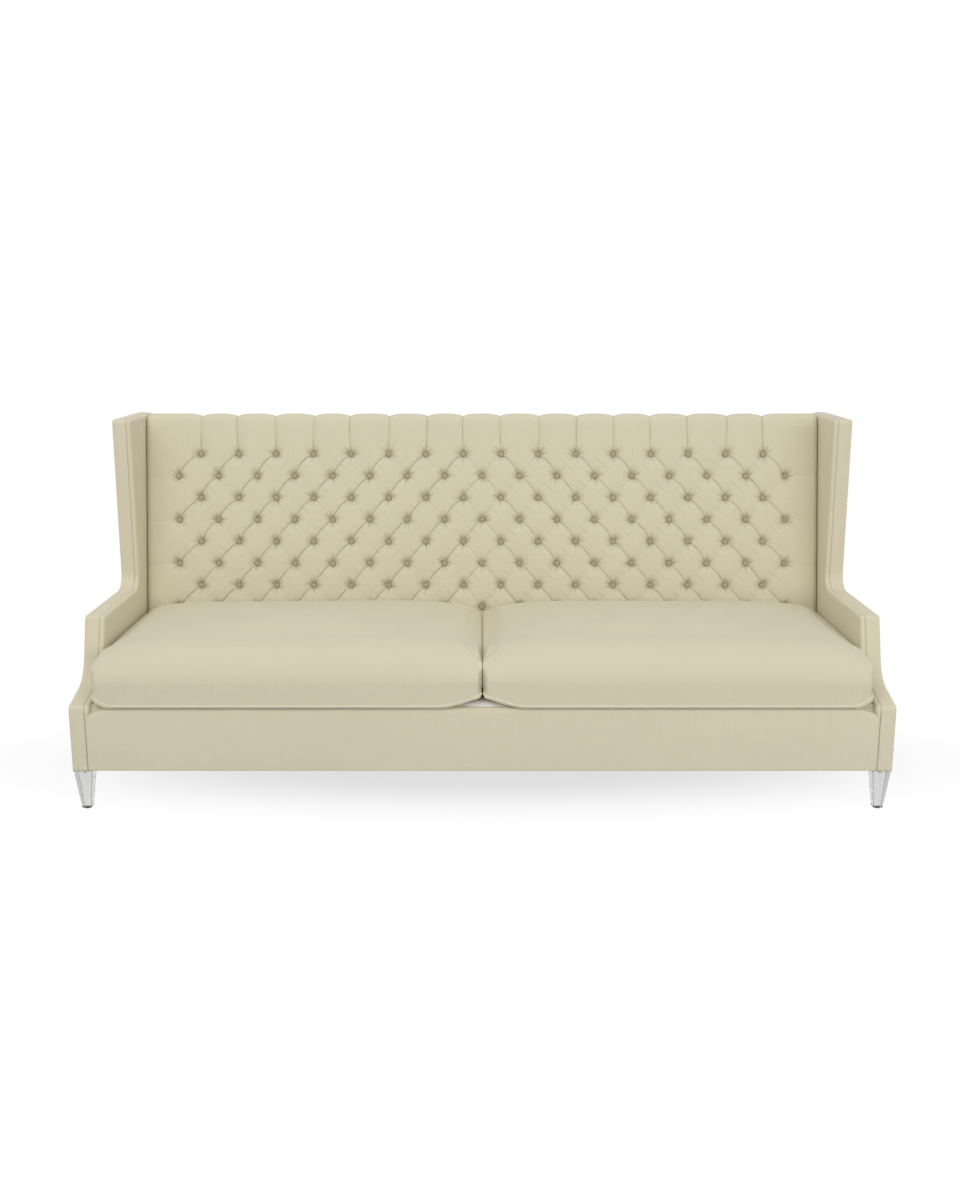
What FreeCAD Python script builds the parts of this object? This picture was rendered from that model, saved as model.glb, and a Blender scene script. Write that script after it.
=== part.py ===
import FreeCAD, Part
import math
import os
import re
import Sketcher
from FreeCAD import Placement, Rotation, Vector

# High back settee: a stepped arm and wing at each end, a deep buttoned back between them, two loose seat
# cushions and clear tapered legs. X runs along the seat, -Y is the front, +Z is up. The origin is on the
# floor, in the middle of the plan. Left and right are as seen from the front.

doc = FreeCAD.newDocument("HighBackSettee")

# Driving dimensions, in millimetres and degrees

driving_dimensions = [
    ("overall_width", 2440),
    ("overall_depth", 960),
    ("back_height", 1118),
    ("wing_drop", 6),
    ("arm_height", 548),
    ("base_height", 324),
    ("deck_drop", 2),
    ("leg_height", 125),
    # side outline: arm and knee set back from the front, wing measured from the rear
    ("side_thickness", 60),
    ("band_width", 45),
    ("band_depth", 12),
    ("wing_depth", 324),
    ("arm_setback", 217),
    ("knee_setback", 158),
    ("knee_rise", 41),
    ("knee_radius", 110),
    ("wing_foot_radius", 55),
    ("nose_radius", 6),
    ("cover_thickness", 6),
    ("back_cover_thickness", 5),
    ("outer_rake", 5.5),
    # hardwood frame
    ("underside_gap", 4),
    ("rail_thickness", 40),
    ("deck_build", 26),
    ("arm_rail_height", 40),
    ("arm_post_width", 73),
    ("wing_post_width", 60),
    ("wing_foot_margin", 4),
    ("wing_rail_height", 60),
    ("back_rail_height", 60),
    ("back_post_thickness", 38),
    ("stretcher_height", 100),
    ("tack_rail_height", 70),
    ("tack_rail_thickness", 30),
    ("corner_block_leg", 90),
    ("corner_block_height", 120),
    # seat deck
    ("webbing_width", 50),
    ("webbing_thickness", 2),
    ("seat_webbing_pitch", 130),
    ("hessian_thickness", 1.5),
    ("deck_cloth_thickness", 2),
    ("edge_roll_width", 22),
    ("edge_roll_cover", 3),
    ("cover_hem_radius", 2),
    # back upholstery, measured square to the reclined face of the back
    ("back_recline", 11.27),
    ("back_depth", 277),
    ("crest_rise", 8),
    ("valley_depth", 14),
    ("pad_depth", 60),
    ("cap_drop", 28),
    ("cap_radius", 22),
    ("panel_clearance", 0.5),
    # buttons
    ("button_edge_margin", 111.5),
    ("top_pleat_length", 111),
    ("button_rows", 8),
    ("long_row_buttons", 17),
    ("first_row_height", 143),
    ("outer_button_shift", 6),
    ("button_radius", 8.5),
    ("button_height", 6.5),
    ("button_rim", 2.2),
    ("button_well", 15),
    ("twine_radius", 0.8),
    # legs
    ("leg_top", 51),
    ("leg_foot", 29),
    ("leg_inset", 4),
    ("glide_radius", 11),
    ("glide_thickness", 2.5),
    ("stud_radius", 4),
    ("stud_clearance", 0.05),
    ("stud_in_leg", 12),
    ("stud_in_frame", 34),
    ("plate_size", 30),
    ("plate_screw_spacing", 20),
    ("plate_screw_radius", 2),
    ("plate_screw_length", 22),
    ("screw_head_radius", 4),
    ("screw_head_height", 2.4),
    # loose seat cushions
    ("cushion_lift", 0.3),
    ("cushion_side_gap", 10),
    ("cushion_middle_gap", 6),
    ("cushion_back_gap", 6),
    ("cushion_front_gap", 2),
    ("cushion_crown_thickness", 198),
    ("cushion_front_thickness", 168),
    ("cushion_back_thickness", 158),
    ("cushion_side_thickness", 152),
    ("cushion_side_swell", 5),
    ("cushion_crown_radius", 900),
    ("cushion_front_radius", 46),
    ("cushion_corner_radius", 26),
    ("cushion_seam_radius", 8),
    ("cushion_cover_thickness", 3),
    ("core_clearance", 0.1),
    # zips in the backs of the cushions
    ("zip_height", 72),
    ("zip_end_gap", 90),
    ("zip_channel_height", 24),
    ("zip_channel_depth", 8),
    ("zip_tape_height", 20),
    ("zip_tape_thickness", 1.2),
    ("zip_chain_height", 5),
    ("zip_chain_thickness", 2.2),
    ("slider_length", 11),
    ("slider_height", 10),
    ("slider_thickness", 5.6),
    ("slider_clearance", 0.3),
    ("pull_length", 24),
    ("pull_height", 6),
    ("pull_thickness", 1.2),
]

# Places that several pieces share, worked out from the driving dimensions

shared_places = [
    ("half_width", "overall_width / 2"),
    ("front_y", "-overall_depth / 2"),
    ("rear_y", "overall_depth / 2"),
    ("wing_height", "back_height - wing_drop"),
    ("deck_height", "base_height - deck_drop"),
    ("knee_height", "base_height + knee_rise"),
    ("inner_x", "half_width - side_thickness"),
    ("board_inner_x", "half_width - band_width"),
    ("board_outer_x", "half_width - cover_thickness"),
    ("board_thickness", "board_outer_x - board_inner_x"),
    ("pad_half", "inner_x - panel_clearance"),
    ("frame_z", "leg_height + underside_gap"),
    ("rail_z", "deck_height - deck_build"),
    ("arm_board_z", "arm_height - band_depth"),
    ("wing_board_z", "wing_height - band_depth"),
    ("rail_front_y", "front_y + cover_thickness"),
    ("rail_back_y", "rail_front_y + rail_thickness"),
    ("seat_back_y", "rear_y - back_depth"),
    ("frame_setback", "pad_depth + hessian_thickness + 2 * webbing_thickness"),
    (
        "rear_rail_y",
        "seat_back_y + (rail_z - deck_height) * tan(back_recline) + frame_setback / cos(back_recline)",
    ),
    ("cap_z", "back_height - cap_drop"),
    ("top_rail_z", "cap_z - frame_setback * sin(back_recline)"),
    ("back_top", "(cap_z - deck_height) / cos(back_recline)"),
    ("button_span", "pad_half - button_edge_margin - 2 * outer_button_shift"),
    ("button_pitch", "2 * button_span / (long_row_buttons - 1)"),
    ("button_row_pitch", "(back_top - first_row_height - top_pleat_length) / (button_rows - 1)"),
    ("toe_angle", "atan((knee_height - base_height) / knee_setback)"),
    ("stump_angle", "atan((arm_height - knee_height) / (arm_setback - knee_setback))"),
    ("wing_front_y", "rear_y - wing_depth + band_depth"),
    ("wing_foot_y", "wing_front_y - wing_foot_radius - band_depth - wing_foot_margin"),
    ("wing_post_back_y", "wing_front_y + wing_post_width"),
    ("arm_post_back_y", "front_y + arm_setback + arm_post_width"),
    ("rail_span", "(2 * board_inner_x - 2 * back_post_thickness) / 3"),
    ("deck_front_y", "rail_front_y + edge_roll_width"),
    ("deck_depth", "rear_rail_y - panel_clearance - deck_front_y"),
    ("roll_top_z", "deck_height - edge_roll_cover"),
    ("leg_x", "half_width - leg_inset - leg_top / 2"),
    ("front_leg_y", "front_y + leg_inset + leg_top / 2"),
    ("rear_leg_y", "rear_y - (wing_height - leg_height) * tan(outer_rake) - leg_inset - leg_top / 2"),
]

sheet = doc.addObject("Spreadsheet::Sheet", "Sizes")
for index, (alias, number) in enumerate(driving_dimensions, start=1):
    sheet.set(f"A{index}", alias)
    sheet.set(f"B{index}", str(number))
    sheet.setAlias(f"B{index}", alias)
for index, (alias, formula) in enumerate(shared_places, start=1):
    sheet.set(f"D{index}", alias)
    sheet.set(f"E{index}", f"={formula}")
    sheet.setAlias(f"E{index}", alias)
doc.recompute()
aliases = {alias for alias, _ in driving_dimensions + shared_places}


def size(alias):
    """The number in the sheet's cell of that name."""
    return float(getattr(sheet, alias))


def bound(expression):
    """An expression with each cell's name led by the sheet's, so that other objects can use it."""
    return re.sub("[a-z_]+", lambda word: f"Sizes.{word[0]}" if word[0] in aliases else word[0], expression)


def value(expression):
    """The number that an expression gives now."""
    return float(sheet.evalExpression(bound(expression)))


# Lines seen from the side, as expressions of the height


def rear_line(z):
    """Y of the settee's outer back."""
    return f"(rear_y - (wing_height - ({z})) * tan(outer_rake))"


def panel_rear(z):
    """Y where side panels and rails stop, in front of the outside back cover."""
    return f"({rear_line(z)} - back_cover_thickness)"


def back_line(z, depth="0"):
    """Y of the plane that lies depth behind the reclined face of the back."""
    return f"(seat_back_y + (({z}) - deck_height) * tan(back_recline) + ({depth}) / cos(back_recline))"


def side_corners(inset="0"):
    """Base, knee, nose, wing foot and wing top of the side outline, its edges moved in by inset."""
    turn = "(1 + cos(stump_angle - toe_angle))"
    knee_y = f"{inset} * (sin(toe_angle) + sin(stump_angle)) / {turn}"
    knee_drop = f"{inset} * (cos(toe_angle) + cos(stump_angle)) / {turn}"
    wing_y = f"rear_y - wing_depth + {inset}"
    return [
        (f"front_y + {inset}", f"base_height - {inset} * cos(toe_angle) / (1 + sin(toe_angle))"),
        (f"front_y + knee_setback + {knee_y}", f"knee_height - {knee_drop}"),
        (f"front_y + arm_setback + {inset} * tan(stump_angle / 2)", f"arm_height - {inset}"),
        (wing_y, f"arm_height - {inset}"),
        (wing_y, f"wing_height - {inset}"),
    ]


# Ways to add a sub-part


def add_shape(label, shape, placement=None):
    """A sub-part whose shape comes from this file's own functions."""
    piece = doc.addObject("Part::Feature", label)
    piece.Shape = shape
    if placement:
        piece.Placement = placement
    return piece


def add_box(label, lengths, corner):
    """A box; its three lengths and its low corner are expressions."""
    piece = doc.addObject("Part::Box", label)
    for name, expression in zip(("Length", "Width", "Height"), lengths):
        piece.setExpression(name, bound(expression))
    for axis, expression in zip("xyz", corner):
        piece.setExpression(f".Placement.Base.{axis}", bound(expression))
    return piece


def add_sketch(body, name, role, height):
    """A sketch on one of the body's own origin planes, raised from it by an expression."""
    sketch = body.newObject("Sketcher::SketchObject", name)
    plane = next(feature for feature in body.Origin.OriginFeatures if feature.Role == role)
    sketch.AttachmentSupport = (plane, [""])
    sketch.MapMode = "FlatFace"
    sketch.setExpression("AttachmentOffset.Base.z", bound(height))
    return sketch


def draw_polygon(sketch, corners):
    """A closed polygon whose corners are pairs of expressions."""
    points = [Vector(value(a), value(b), 0) for a, b in corners]
    count = len(points)
    for k in range(count):
        sketch.addGeometry(Part.LineSegment(points[k], points[(k + 1) % count]), False)
    for k in range(count):
        sketch.addConstraint(Sketcher.Constraint("Coincident", k, 2, (k + 1) % count, 1))
    for k, corner in enumerate(corners):
        for kind, expression, number in zip(("DistanceX", "DistanceY"), corner, points[k]):
            row = sketch.addConstraint(Sketcher.Constraint(kind, -1, 1, k, 1, number))
            sketch.setExpression(f"Constraints[{row}]", bound(expression))


def edges_along_x(shape, places):
    """Names of the edges that run along X through the given (y, z) places."""
    names = []
    for number, edge in enumerate(shape.Edges, start=1):
        box = edge.BoundBox
        for y, z in places:
            near = math.dist((box.Center.y, box.Center.z), (y, z)) < 0.01
            if near and box.XLength > box.YLength + box.ZLength:
                names.append(f"Edge{number}")
    return names


def add_profile(label, corners, start, length, rounds=None):
    """A body whose (y, z) corners are padded along X; rounds gives some of the corners a radius."""
    body = doc.addObject("PartDesign::Body", label)
    sketch = add_sketch(body, f"{label}_profile", "YZ_Plane", start)
    draw_polygon(sketch, corners)
    pad = body.newObject("PartDesign::Pad", f"{label}_pad")
    pad.Profile = sketch
    pad.setExpression("Length", bound(length))
    rounds = rounds or {}
    for number, radius in enumerate(sorted(set(rounds.values())), start=1):
        doc.recompute()
        places = [(value(y), value(z)) for (y, z), wanted in rounds.items() if wanted == radius]
        before = body.Tip
        fillet = body.newObject("PartDesign::Fillet", f"{label}_round_{number}")
        fillet.Base = (before, edges_along_x(before.Shape, places))
        fillet.setExpression("Radius", bound(radius))
    return body


def add_bore(body, x, y, height, radius, depth, upward):
    """A blind round hole that starts at a height and goes up or down."""
    sketch = add_sketch(body, f"{body.Label}_bore_circle", "XY_Plane", height)
    sketch.addGeometry(Part.Circle(Vector(value(x), value(y), 0), Vector(0, 0, 1), value(radius)), False)
    for kind, expression in (("DistanceX", x), ("DistanceY", y)):
        row = sketch.addConstraint(Sketcher.Constraint(kind, -1, 1, 0, 3, value(expression)))
        sketch.setExpression(f"Constraints[{row}]", bound(expression))
    row = sketch.addConstraint(Sketcher.Constraint("Radius", 0, value(radius)))
    sketch.setExpression(f"Constraints[{row}]", bound(radius))
    pocket = body.newObject("PartDesign::Pocket", f"{body.Label}_bore")
    pocket.Profile = sketch
    pocket.Reversed = upward
    pocket.setExpression("Length", bound(depth))


def box_between(x, y, z):
    """A plain box between the (low, high) pairs of its three axes."""
    return Part.makeBox(x[1] - x[0], y[1] - y[0], z[1] - z[0], Vector(x[0], y[0], z[0]))


def on_side(side, near, far):
    """The X range between two distances from the middle, on the left (-1) or the right (+1)."""
    return (near, far) if side > 0 else (-far, -near)


sides = ((-1, "left"), (1, "right"))

# Seat frame: rails, a stretcher, a tack rail for the outside back, and glued corner blocks

cross_rail = ("2 * board_inner_x", "rail_thickness", "rail_z - frame_z")
add_box("front_seat_rail", cross_rail, ("-board_inner_x", "rail_front_y", "frame_z"))
add_box("rear_seat_rail", cross_rail, ("-board_inner_x", "rear_rail_y", "frame_z"))

stretcher_top = "frame_z + stretcher_height"
seat_stretcher = add_profile(
    "seat_stretcher",
    [
        ("rail_back_y", "frame_z"),
        ("rear_rail_y", "frame_z"),
        ("rear_rail_y", stretcher_top),
        ("rail_back_y", stretcher_top),
    ],
    "-back_post_thickness / 2",
    "back_post_thickness",
)
tack_top = "frame_z + tack_rail_height"
add_profile(
    "rear_tack_rail",
    [
        (panel_rear("frame_z"), "frame_z"),
        (panel_rear(tack_top), tack_top),
        (f"{panel_rear(tack_top)} - tack_rail_thickness", tack_top),
        (f"{panel_rear('frame_z')} - tack_rail_thickness", "frame_z"),
    ],
    "-board_inner_x",
    "2 * board_inner_x",
)

corner_blocks = []
for side, _ in sides:
    for block_y, inward in ((size("rail_back_y"), 1), (size("rear_rail_y"), -1)):
        corner = Vector(side * size("board_inner_x"), block_y, size("rail_z") - size("corner_block_height"))
        along_x = corner + Vector(-side * size("corner_block_leg"), 0, 0)
        along_y = corner + Vector(0, inward * size("corner_block_leg"), 0)
        triangle = Part.Face(Part.makePolygon([corner, along_x, along_y, corner]))
        corner_blocks.append(triangle.extrude(Vector(0, 0, size("corner_block_height"))))
add_shape("corner_blocks", Part.makeCompound(corner_blocks))

# Side panels: boards, inside pad, outside panel, and the band that wraps the front and top edges

base, knee, nose, wing_foot, wing_top = side_corners()
inset_base, inset_knee, inset_nose, inset_foot, inset_top = side_corners("band_depth")
inset_knee_radius = "knee_radius + band_depth"
inset_foot_radius = "wing_foot_radius + band_depth"
arm_rail_bottom = "arm_board_z - arm_rail_height"
wing_rail_bottom = "wing_board_z - wing_rail_height"

seat_rail_corners = [
    ("front_y + band_depth", "frame_z"),
    ("rear_rail_y", "frame_z"),
    ("rear_rail_y", "rail_z"),
    ("front_y + band_depth", "rail_z"),
]
arm_post_corners = [
    ("front_y + band_depth", "rail_z"),
    inset_base,
    inset_knee,
    inset_nose,
    ("arm_post_back_y", "arm_board_z"),
    ("arm_post_back_y", "rail_z"),
]
arm_rail_corners = [
    ("arm_post_back_y", arm_rail_bottom),
    ("arm_post_back_y", "arm_board_z"),
    ("wing_foot_y", "arm_board_z"),
    ("wing_foot_y", arm_rail_bottom),
]
wing_post_corners = [
    ("wing_front_y", "rail_z"),
    ("wing_front_y", arm_rail_bottom),
    ("wing_foot_y", arm_rail_bottom),
    ("wing_foot_y", "arm_board_z"),
    inset_foot,
    inset_top,
    ("wing_post_back_y", "wing_board_z"),
    ("wing_post_back_y", "rail_z"),
]
wing_rail_corners = [
    ("wing_post_back_y", wing_rail_bottom),
    ("wing_post_back_y", "wing_board_z"),
    (back_line("wing_board_z", "frame_setback"), "wing_board_z"),
    (back_line(wing_rail_bottom, "frame_setback"), wing_rail_bottom),
]
back_post_corners = [
    ("rear_rail_y", "frame_z"),
    ("rear_rail_y", "rail_z"),
    (back_line("wing_board_z", "frame_setback"), "wing_board_z"),
    (panel_rear("wing_board_z"), "wing_board_z"),
    (panel_rear("frame_z"), "frame_z"),
]
inside_pad_corners = [
    ("front_y", "rail_z"),
    base,
    knee,
    nose,
    wing_foot,
    wing_top,
    (panel_rear("wing_height"), "wing_height"),
    (panel_rear("top_rail_z"), "top_rail_z"),
    (back_line("top_rail_z", "frame_setback"), "top_rail_z"),
    ("rear_rail_y", "rail_z"),
]
side_panel_corners = [
    ("front_y + band_depth", "leg_height"),
    inset_base,
    inset_knee,
    inset_nose,
    inset_foot,
    inset_top,
    (panel_rear("wing_board_z"), "wing_board_z"),
    (panel_rear("leg_height"), "leg_height"),
]
front_band_corners = [
    ("front_y", "leg_height"),
    base,
    knee,
    nose,
    wing_foot,
    wing_top,
    (panel_rear("wing_height"), "wing_height"),
    (panel_rear("wing_board_z"), "wing_board_z"),
    inset_top,
    inset_foot,
    inset_nose,
    inset_knee,
    inset_base,
    ("front_y + band_depth", "leg_height"),
]
outer_rounds = {
    base: "nose_radius",
    nose: "nose_radius",
    wing_top: "nose_radius",
    knee: "knee_radius",
    wing_foot: "wing_foot_radius",
}
inset_rounds = {inset_knee: inset_knee_radius, inset_foot: inset_foot_radius}
boards = [
    ("seat_rail", seat_rail_corners, {}),
    ("arm_post", arm_post_corners, {inset_knee: inset_knee_radius}),
    ("arm_rail", arm_rail_corners, {}),
    ("wing_post", wing_post_corners, {inset_foot: inset_foot_radius}),
    ("wing_rail", wing_rail_corners, {}),
    ("back_post", back_post_corners, {}),
]


def from_middle(side, near, length):
    """Where padding starts, for a piece that lies from near outwards."""
    return near if side > 0 else f"-{near} - {length}"


made_boards = {}
for side, name in sides:
    board_start = from_middle(side, "board_inner_x", "board_thickness")
    for board, corners, rounds in boards:
        label = f"{name}_{board}"
        made_boards[label] = add_profile(label, corners, board_start, "board_thickness", rounds)
    pad_thickness = "(side_thickness - band_width)"
    pad_start = from_middle(side, "inner_x", pad_thickness)
    add_profile(f"{name}_inside_pad", inside_pad_corners, pad_start, pad_thickness, outer_rounds)
    panel_start = from_middle(side, "board_outer_x", "cover_thickness")
    add_profile(f"{name}_side_panel", side_panel_corners, panel_start, "cover_thickness", inset_rounds)
    band_start = from_middle(side, "board_inner_x", "band_width")
    band_rounds = outer_rounds | inset_rounds
    add_profile(f"{name}_front_band", front_band_corners, band_start, "band_width", band_rounds)

# Back frame: a top rail, two posts, and three lower rails between posts, in the plane of the recline

top_rail_bottom = "top_rail_z - back_rail_height"
add_profile(
    "top_back_rail",
    [
        (back_line(top_rail_bottom, "frame_setback"), top_rail_bottom),
        (back_line("top_rail_z", "frame_setback"), "top_rail_z"),
        (panel_rear("top_rail_z"), "top_rail_z"),
        (panel_rear(top_rail_bottom), top_rail_bottom),
    ],
    "-board_inner_x",
    "2 * board_inner_x",
)
mid_post_corners = [
    ("rear_rail_y", "rail_z"),
    (back_line(top_rail_bottom, "frame_setback"), top_rail_bottom),
    (panel_rear(top_rail_bottom), top_rail_bottom),
    (panel_rear("rail_z"), "rail_z"),
]
for side, name in sides:
    start = from_middle(side, "rail_span / 2", "back_post_thickness")
    add_profile(f"{name}_mid_post", mid_post_corners, start, "back_post_thickness")

back_placement = Placement(
    Vector(0, size("seat_back_y"), size("deck_height")), Rotation(Vector(1, 0, 0), -size("back_recline"))
)
recline = math.radians(size("back_recline"))
hessian_back = size("pad_depth") + size("hessian_thickness")
deck_edge_z = size("deck_height") + size("hessian_thickness")


def slope_to(z, deep):
    """Distance up the slope at which the plane deep behind the back's face reaches height z."""
    return (z - size("deck_height") + deep * math.sin(recline)) / math.cos(recline)


lower_rail_deep = (size("frame_setback"), size("frame_setback") + size("rail_thickness"))
lower_rail_start = slope_to(deck_edge_z, lower_rail_deep[1])
lower_rail_slope = (lower_rail_start, lower_rail_start + size("back_rail_height"))
lower_rails = []
for step in (-1, 0, 1):
    centre_x = step * (size("rail_span") + size("back_post_thickness"))
    rail_x = (centre_x - size("rail_span") / 2, centre_x + size("rail_span") / 2)
    lower_rails.append(box_between(rail_x, lower_rail_deep, lower_rail_slope))
add_shape("lower_back_rails", Part.makeCompound(lower_rails), back_placement)

# Seat deck: webbing, hessian, padding and cloth, with a roll along the front edge

strap_count = int(2 * size("pad_half") // size("seat_webbing_pitch"))
strap_half = size("webbing_width") / 2
mid_post_x = (size("rail_span") + size("back_post_thickness")) / 2
straps = []
for k in range(strap_count):
    centre_x = (k - (strap_count - 1) / 2) * size("seat_webbing_pitch")
    meets_post = abs(abs(centre_x) - mid_post_x) < strap_half + size("back_post_thickness") / 2
    strap_end = size("rear_rail_y") + (0 if meets_post else size("rail_thickness"))
    strap_x = (centre_x - strap_half, centre_x + strap_half)
    strap_z = (size("rail_z"), size("rail_z") + size("webbing_thickness"))
    straps.append(box_between(strap_x, (size("deck_front_y"), strap_end), strap_z))
add_shape("seat_webbing", Part.makeCompound(straps))

hessian_bottom = "rail_z + webbing_thickness"
pad_bottom_z = f"{hessian_bottom} + hessian_thickness"
cloth_bottom = "deck_height - deck_cloth_thickness"
for label, thickness, bottom in (
    ("deck_hessian", "hessian_thickness", hessian_bottom),
    ("deck_pad", f"{cloth_bottom} - ({pad_bottom_z})", pad_bottom_z),
    ("deck_cloth", "deck_cloth_thickness", cloth_bottom),
):
    add_box(label, ("2 * pad_half", "deck_depth", thickness), ("-pad_half", "deck_front_y", bottom))

add_profile(
    "front_edge_roll",
    [
        ("rail_front_y", "rail_z"),
        ("rail_front_y", "roll_top_z"),
        ("deck_front_y", "roll_top_z"),
        ("deck_front_y", "rail_z"),
    ],
    "-pad_half",
    "2 * pad_half",
    {("rail_front_y", "roll_top_z"): "edge_roll_width / 2"},
)

# The front cover runs under the rail, up its face and over the roll to the deck cloth
front_cover = add_profile(
    "front_rail_cover",
    [
        ("front_y", "leg_height"),
        ("front_y", "deck_height"),
        ("deck_front_y", "deck_height"),
        ("deck_front_y", "roll_top_z"),
        ("rail_front_y", "roll_top_z"),
        ("rail_front_y", "frame_z"),
        ("rail_back_y", "frame_z"),
        ("rail_back_y", "leg_height"),
    ],
    "-board_inner_x",
    "2 * board_inner_x",
    {
        ("rail_front_y", "roll_top_z"): "edge_roll_width / 2",
        ("front_y", "deck_height"): "edge_roll_width / 2 + edge_roll_cover",
        ("front_y", "leg_height"): "cover_hem_radius",
    },
)
for side, name in sides:
    shoulder = add_sketch(front_cover, f"{name}_shoulder", "XZ_Plane", "-front_y + panel_clearance")
    near_x, far_x = ("pad_half", "half_width") if side > 0 else ("-half_width", "-pad_half")
    shoulder_top = "deck_height + panel_clearance"
    draw_polygon(
        shoulder, [(near_x, "rail_z"), (far_x, "rail_z"), (far_x, shoulder_top), (near_x, shoulder_top)]
    )
    shoulder_cut = front_cover.newObject("PartDesign::Pocket", f"{name}_shoulder_cut")
    shoulder_cut.Profile = shoulder
    shoulder_cut.setExpression("Length", bound("rail_thickness + edge_roll_width"))

# Tufted back: one quilted pad whose valleys run from button to button

SAME_PLACE = 1e-6
PUFF_FLAT = 0.62
WIDE_CORNER = math.radians(105)
pad_half = size("pad_half")
row_count = int(size("button_rows"))
pad_low = slope_to(deck_edge_z, size("pad_depth"))
pad_high = size("back_top")


def row_slope(row):
    """How far up the slope a row of buttons lies; row 0 is the lowest."""
    return size("first_row_height") + row * size("button_row_pitch")


def row_buttons(row):
    """X of each button in a row. Even rows are the long ones, with their two outer buttons spread."""
    long_row = row % 2 == 0
    count = int(size("long_row_buttons")) - (0 if long_row else 1)
    outermost = (count - 1) / 2
    places = []
    for k in range(count):
        steps = k - outermost
        spread = max(0.0, abs(steps) - outermost + 2) if long_row else 0.0
        distance = abs(steps) * size("button_pitch") + spread * size("outer_button_shift")
        places.append(math.copysign(distance, steps))
    return places


def quilt_cells():
    """The outline of each puff of the back, as (x, slope) points in order."""
    cells = []
    for row in range(1, row_count - 1):
        here, below, above = row_buttons(row), row_buttons(row - 1), row_buttons(row + 1)
        shift = 1 if len(below) > len(here) else 0
        for k in range(len(here) - 1):
            low = (below[k + shift], row_slope(row - 1))
            high = (above[k + shift], row_slope(row + 1))
            cells.append([(here[k], row_slope(row)), low, (here[k + 1], row_slope(row)), high])
    low_row, high_row = row_buttons(0), row_buttons(row_count - 1)
    for k in range(len(high_row) - 1):
        left, right = high_row[k], high_row[k + 1]
        under = (row_buttons(row_count - 2)[k + 1], row_slope(row_count - 2))
        slope = row_slope(row_count - 1)
        cells.append([(left, slope), under, (right, slope), (right, pad_high), (left, pad_high)])
    for k in range(len(low_row) - 1):
        left, right = low_row[k], low_row[k + 1]
        over = (row_buttons(1)[k], row_slope(1))
        cells.append([(left, row_slope(0)), (left, pad_low), (right, pad_low), (right, row_slope(0)), over])
    for side, _ in sides:
        edge, outer, inner = side * pad_half, side * low_row[-1], side * high_row[-1]
        for row in range(0, row_count - 2, 2):
            low, middle, high = row_slope(row), row_slope(row + 1), row_slope(row + 2)
            cells.append([(edge, low), (outer, low), (inner, middle), (outer, high), (edge, high)])
        cells.append([(edge, pad_low), (outer, pad_low), (outer, row_slope(0)), (edge, row_slope(0))])
        low, middle = row_slope(row_count - 2), row_slope(row_count - 1)
        cells.append([(edge, low), (outer, low), (inner, middle), (inner, pad_high), (edge, pad_high)])
    return cells


def mark(point):
    """A point's name, by which the same point is found again in the next cell."""
    return round(point[0], 3), round(point[1], 3)


def well_lips(corner, before, after):
    """Where the well around a button cuts a cell's corner: two points, or three in a wide corner."""
    radius = size("button_well")
    start = math.atan2(before[1] - corner[1], before[0] - corner[0])
    end = math.atan2(after[1] - corner[1], after[0] - corner[0])
    turn = math.remainder(end - start, 2 * math.pi)
    stops = (0, 0.5, 1) if abs(turn) > WIDE_CORNER else (0, 1)
    angles = [start + turn * stop for stop in stops]
    return [(corner[0] + radius * math.cos(a), corner[1] + radius * math.sin(a)) for a in angles]


def flat_face(points, deep):
    """A face through (x, slope) points, each with its own depth behind the back's face."""
    places = [Vector(p[0], d, p[1]) for p, d in zip(points, deep)]
    return Part.Face(Part.makePolygon(places + places[:1]))


button_places = [(x, row_slope(row)) for row in range(row_count) for x in row_buttons(row)]


def quilt_faces():
    """Every face of the quilted pad: puffs, button wells, four edges and the back."""
    cells = quilt_cells()
    buttons = {mark(place) for place in button_places}
    valley, crest, behind = size("valley_depth"), -size("crest_rise"), size("pad_depth")
    wells = {}
    faces = []
    for cell in cells:
        rim = []
        for k, corner in enumerate(cell):
            if mark(corner) not in buttons:
                rim.append(corner)
                continue
            lips = well_lips(corner, cell[k - 1], cell[(k + 1) % len(cell)])
            rim += lips
            wells.setdefault(mark(corner), {}).update({mark(lip): lip for lip in lips})
        middle = (sum(p[0] for p in rim) / len(rim), sum(p[1] for p in rim) / len(rim))
        flat = [tuple(m + (c - m) * PUFF_FLAT for m, c in zip(middle, p)) for p in rim]
        faces.append(flat_face(flat, [crest] * len(flat)))
        for k in range(len(rim)):
            after = (k + 1) % len(rim)
            corners = [rim[k], rim[after], flat[after], flat[k]]
            faces.append(flat_face(corners, [valley, valley, crest, crest]))
    for centre, lips in wells.items():
        ring = sorted(lips.values(), key=lambda p: math.atan2(p[1] - centre[1], p[0] - centre[0]))
        faces.append(flat_face(ring, [valley] * len(ring)))
    corners = [(-pad_half, pad_low), (pad_half, pad_low), (pad_half, pad_high), (-pad_half, pad_high)]
    for k in range(4):
        start, end = corners[k], corners[(k + 1) % 4]
        across = 1 if start[1] == end[1] else 0
        on_edge = {mark(p): p for cell in cells for p in cell if abs(p[across] - start[across]) < SAME_PLACE}
        ordered = sorted(on_edge.values(), key=lambda p: math.dist(p, start))
        faces.append(flat_face(ordered + [end, start], [valley] * len(ordered) + [behind] * 2))
    faces.append(flat_face(corners, [behind] * 4))
    return faces


shell = Part.makeShell(quilt_faces())
shell.sewShape()
quilted_pad = Part.makeSolid(shell)
if quilted_pad.Volume < 0:
    quilted_pad.reverse()
add_shape("tufted_back", quilted_pad, back_placement)

# Buttons sit in the wells; a twine ties each one through the pad to the hessian behind it


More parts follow.
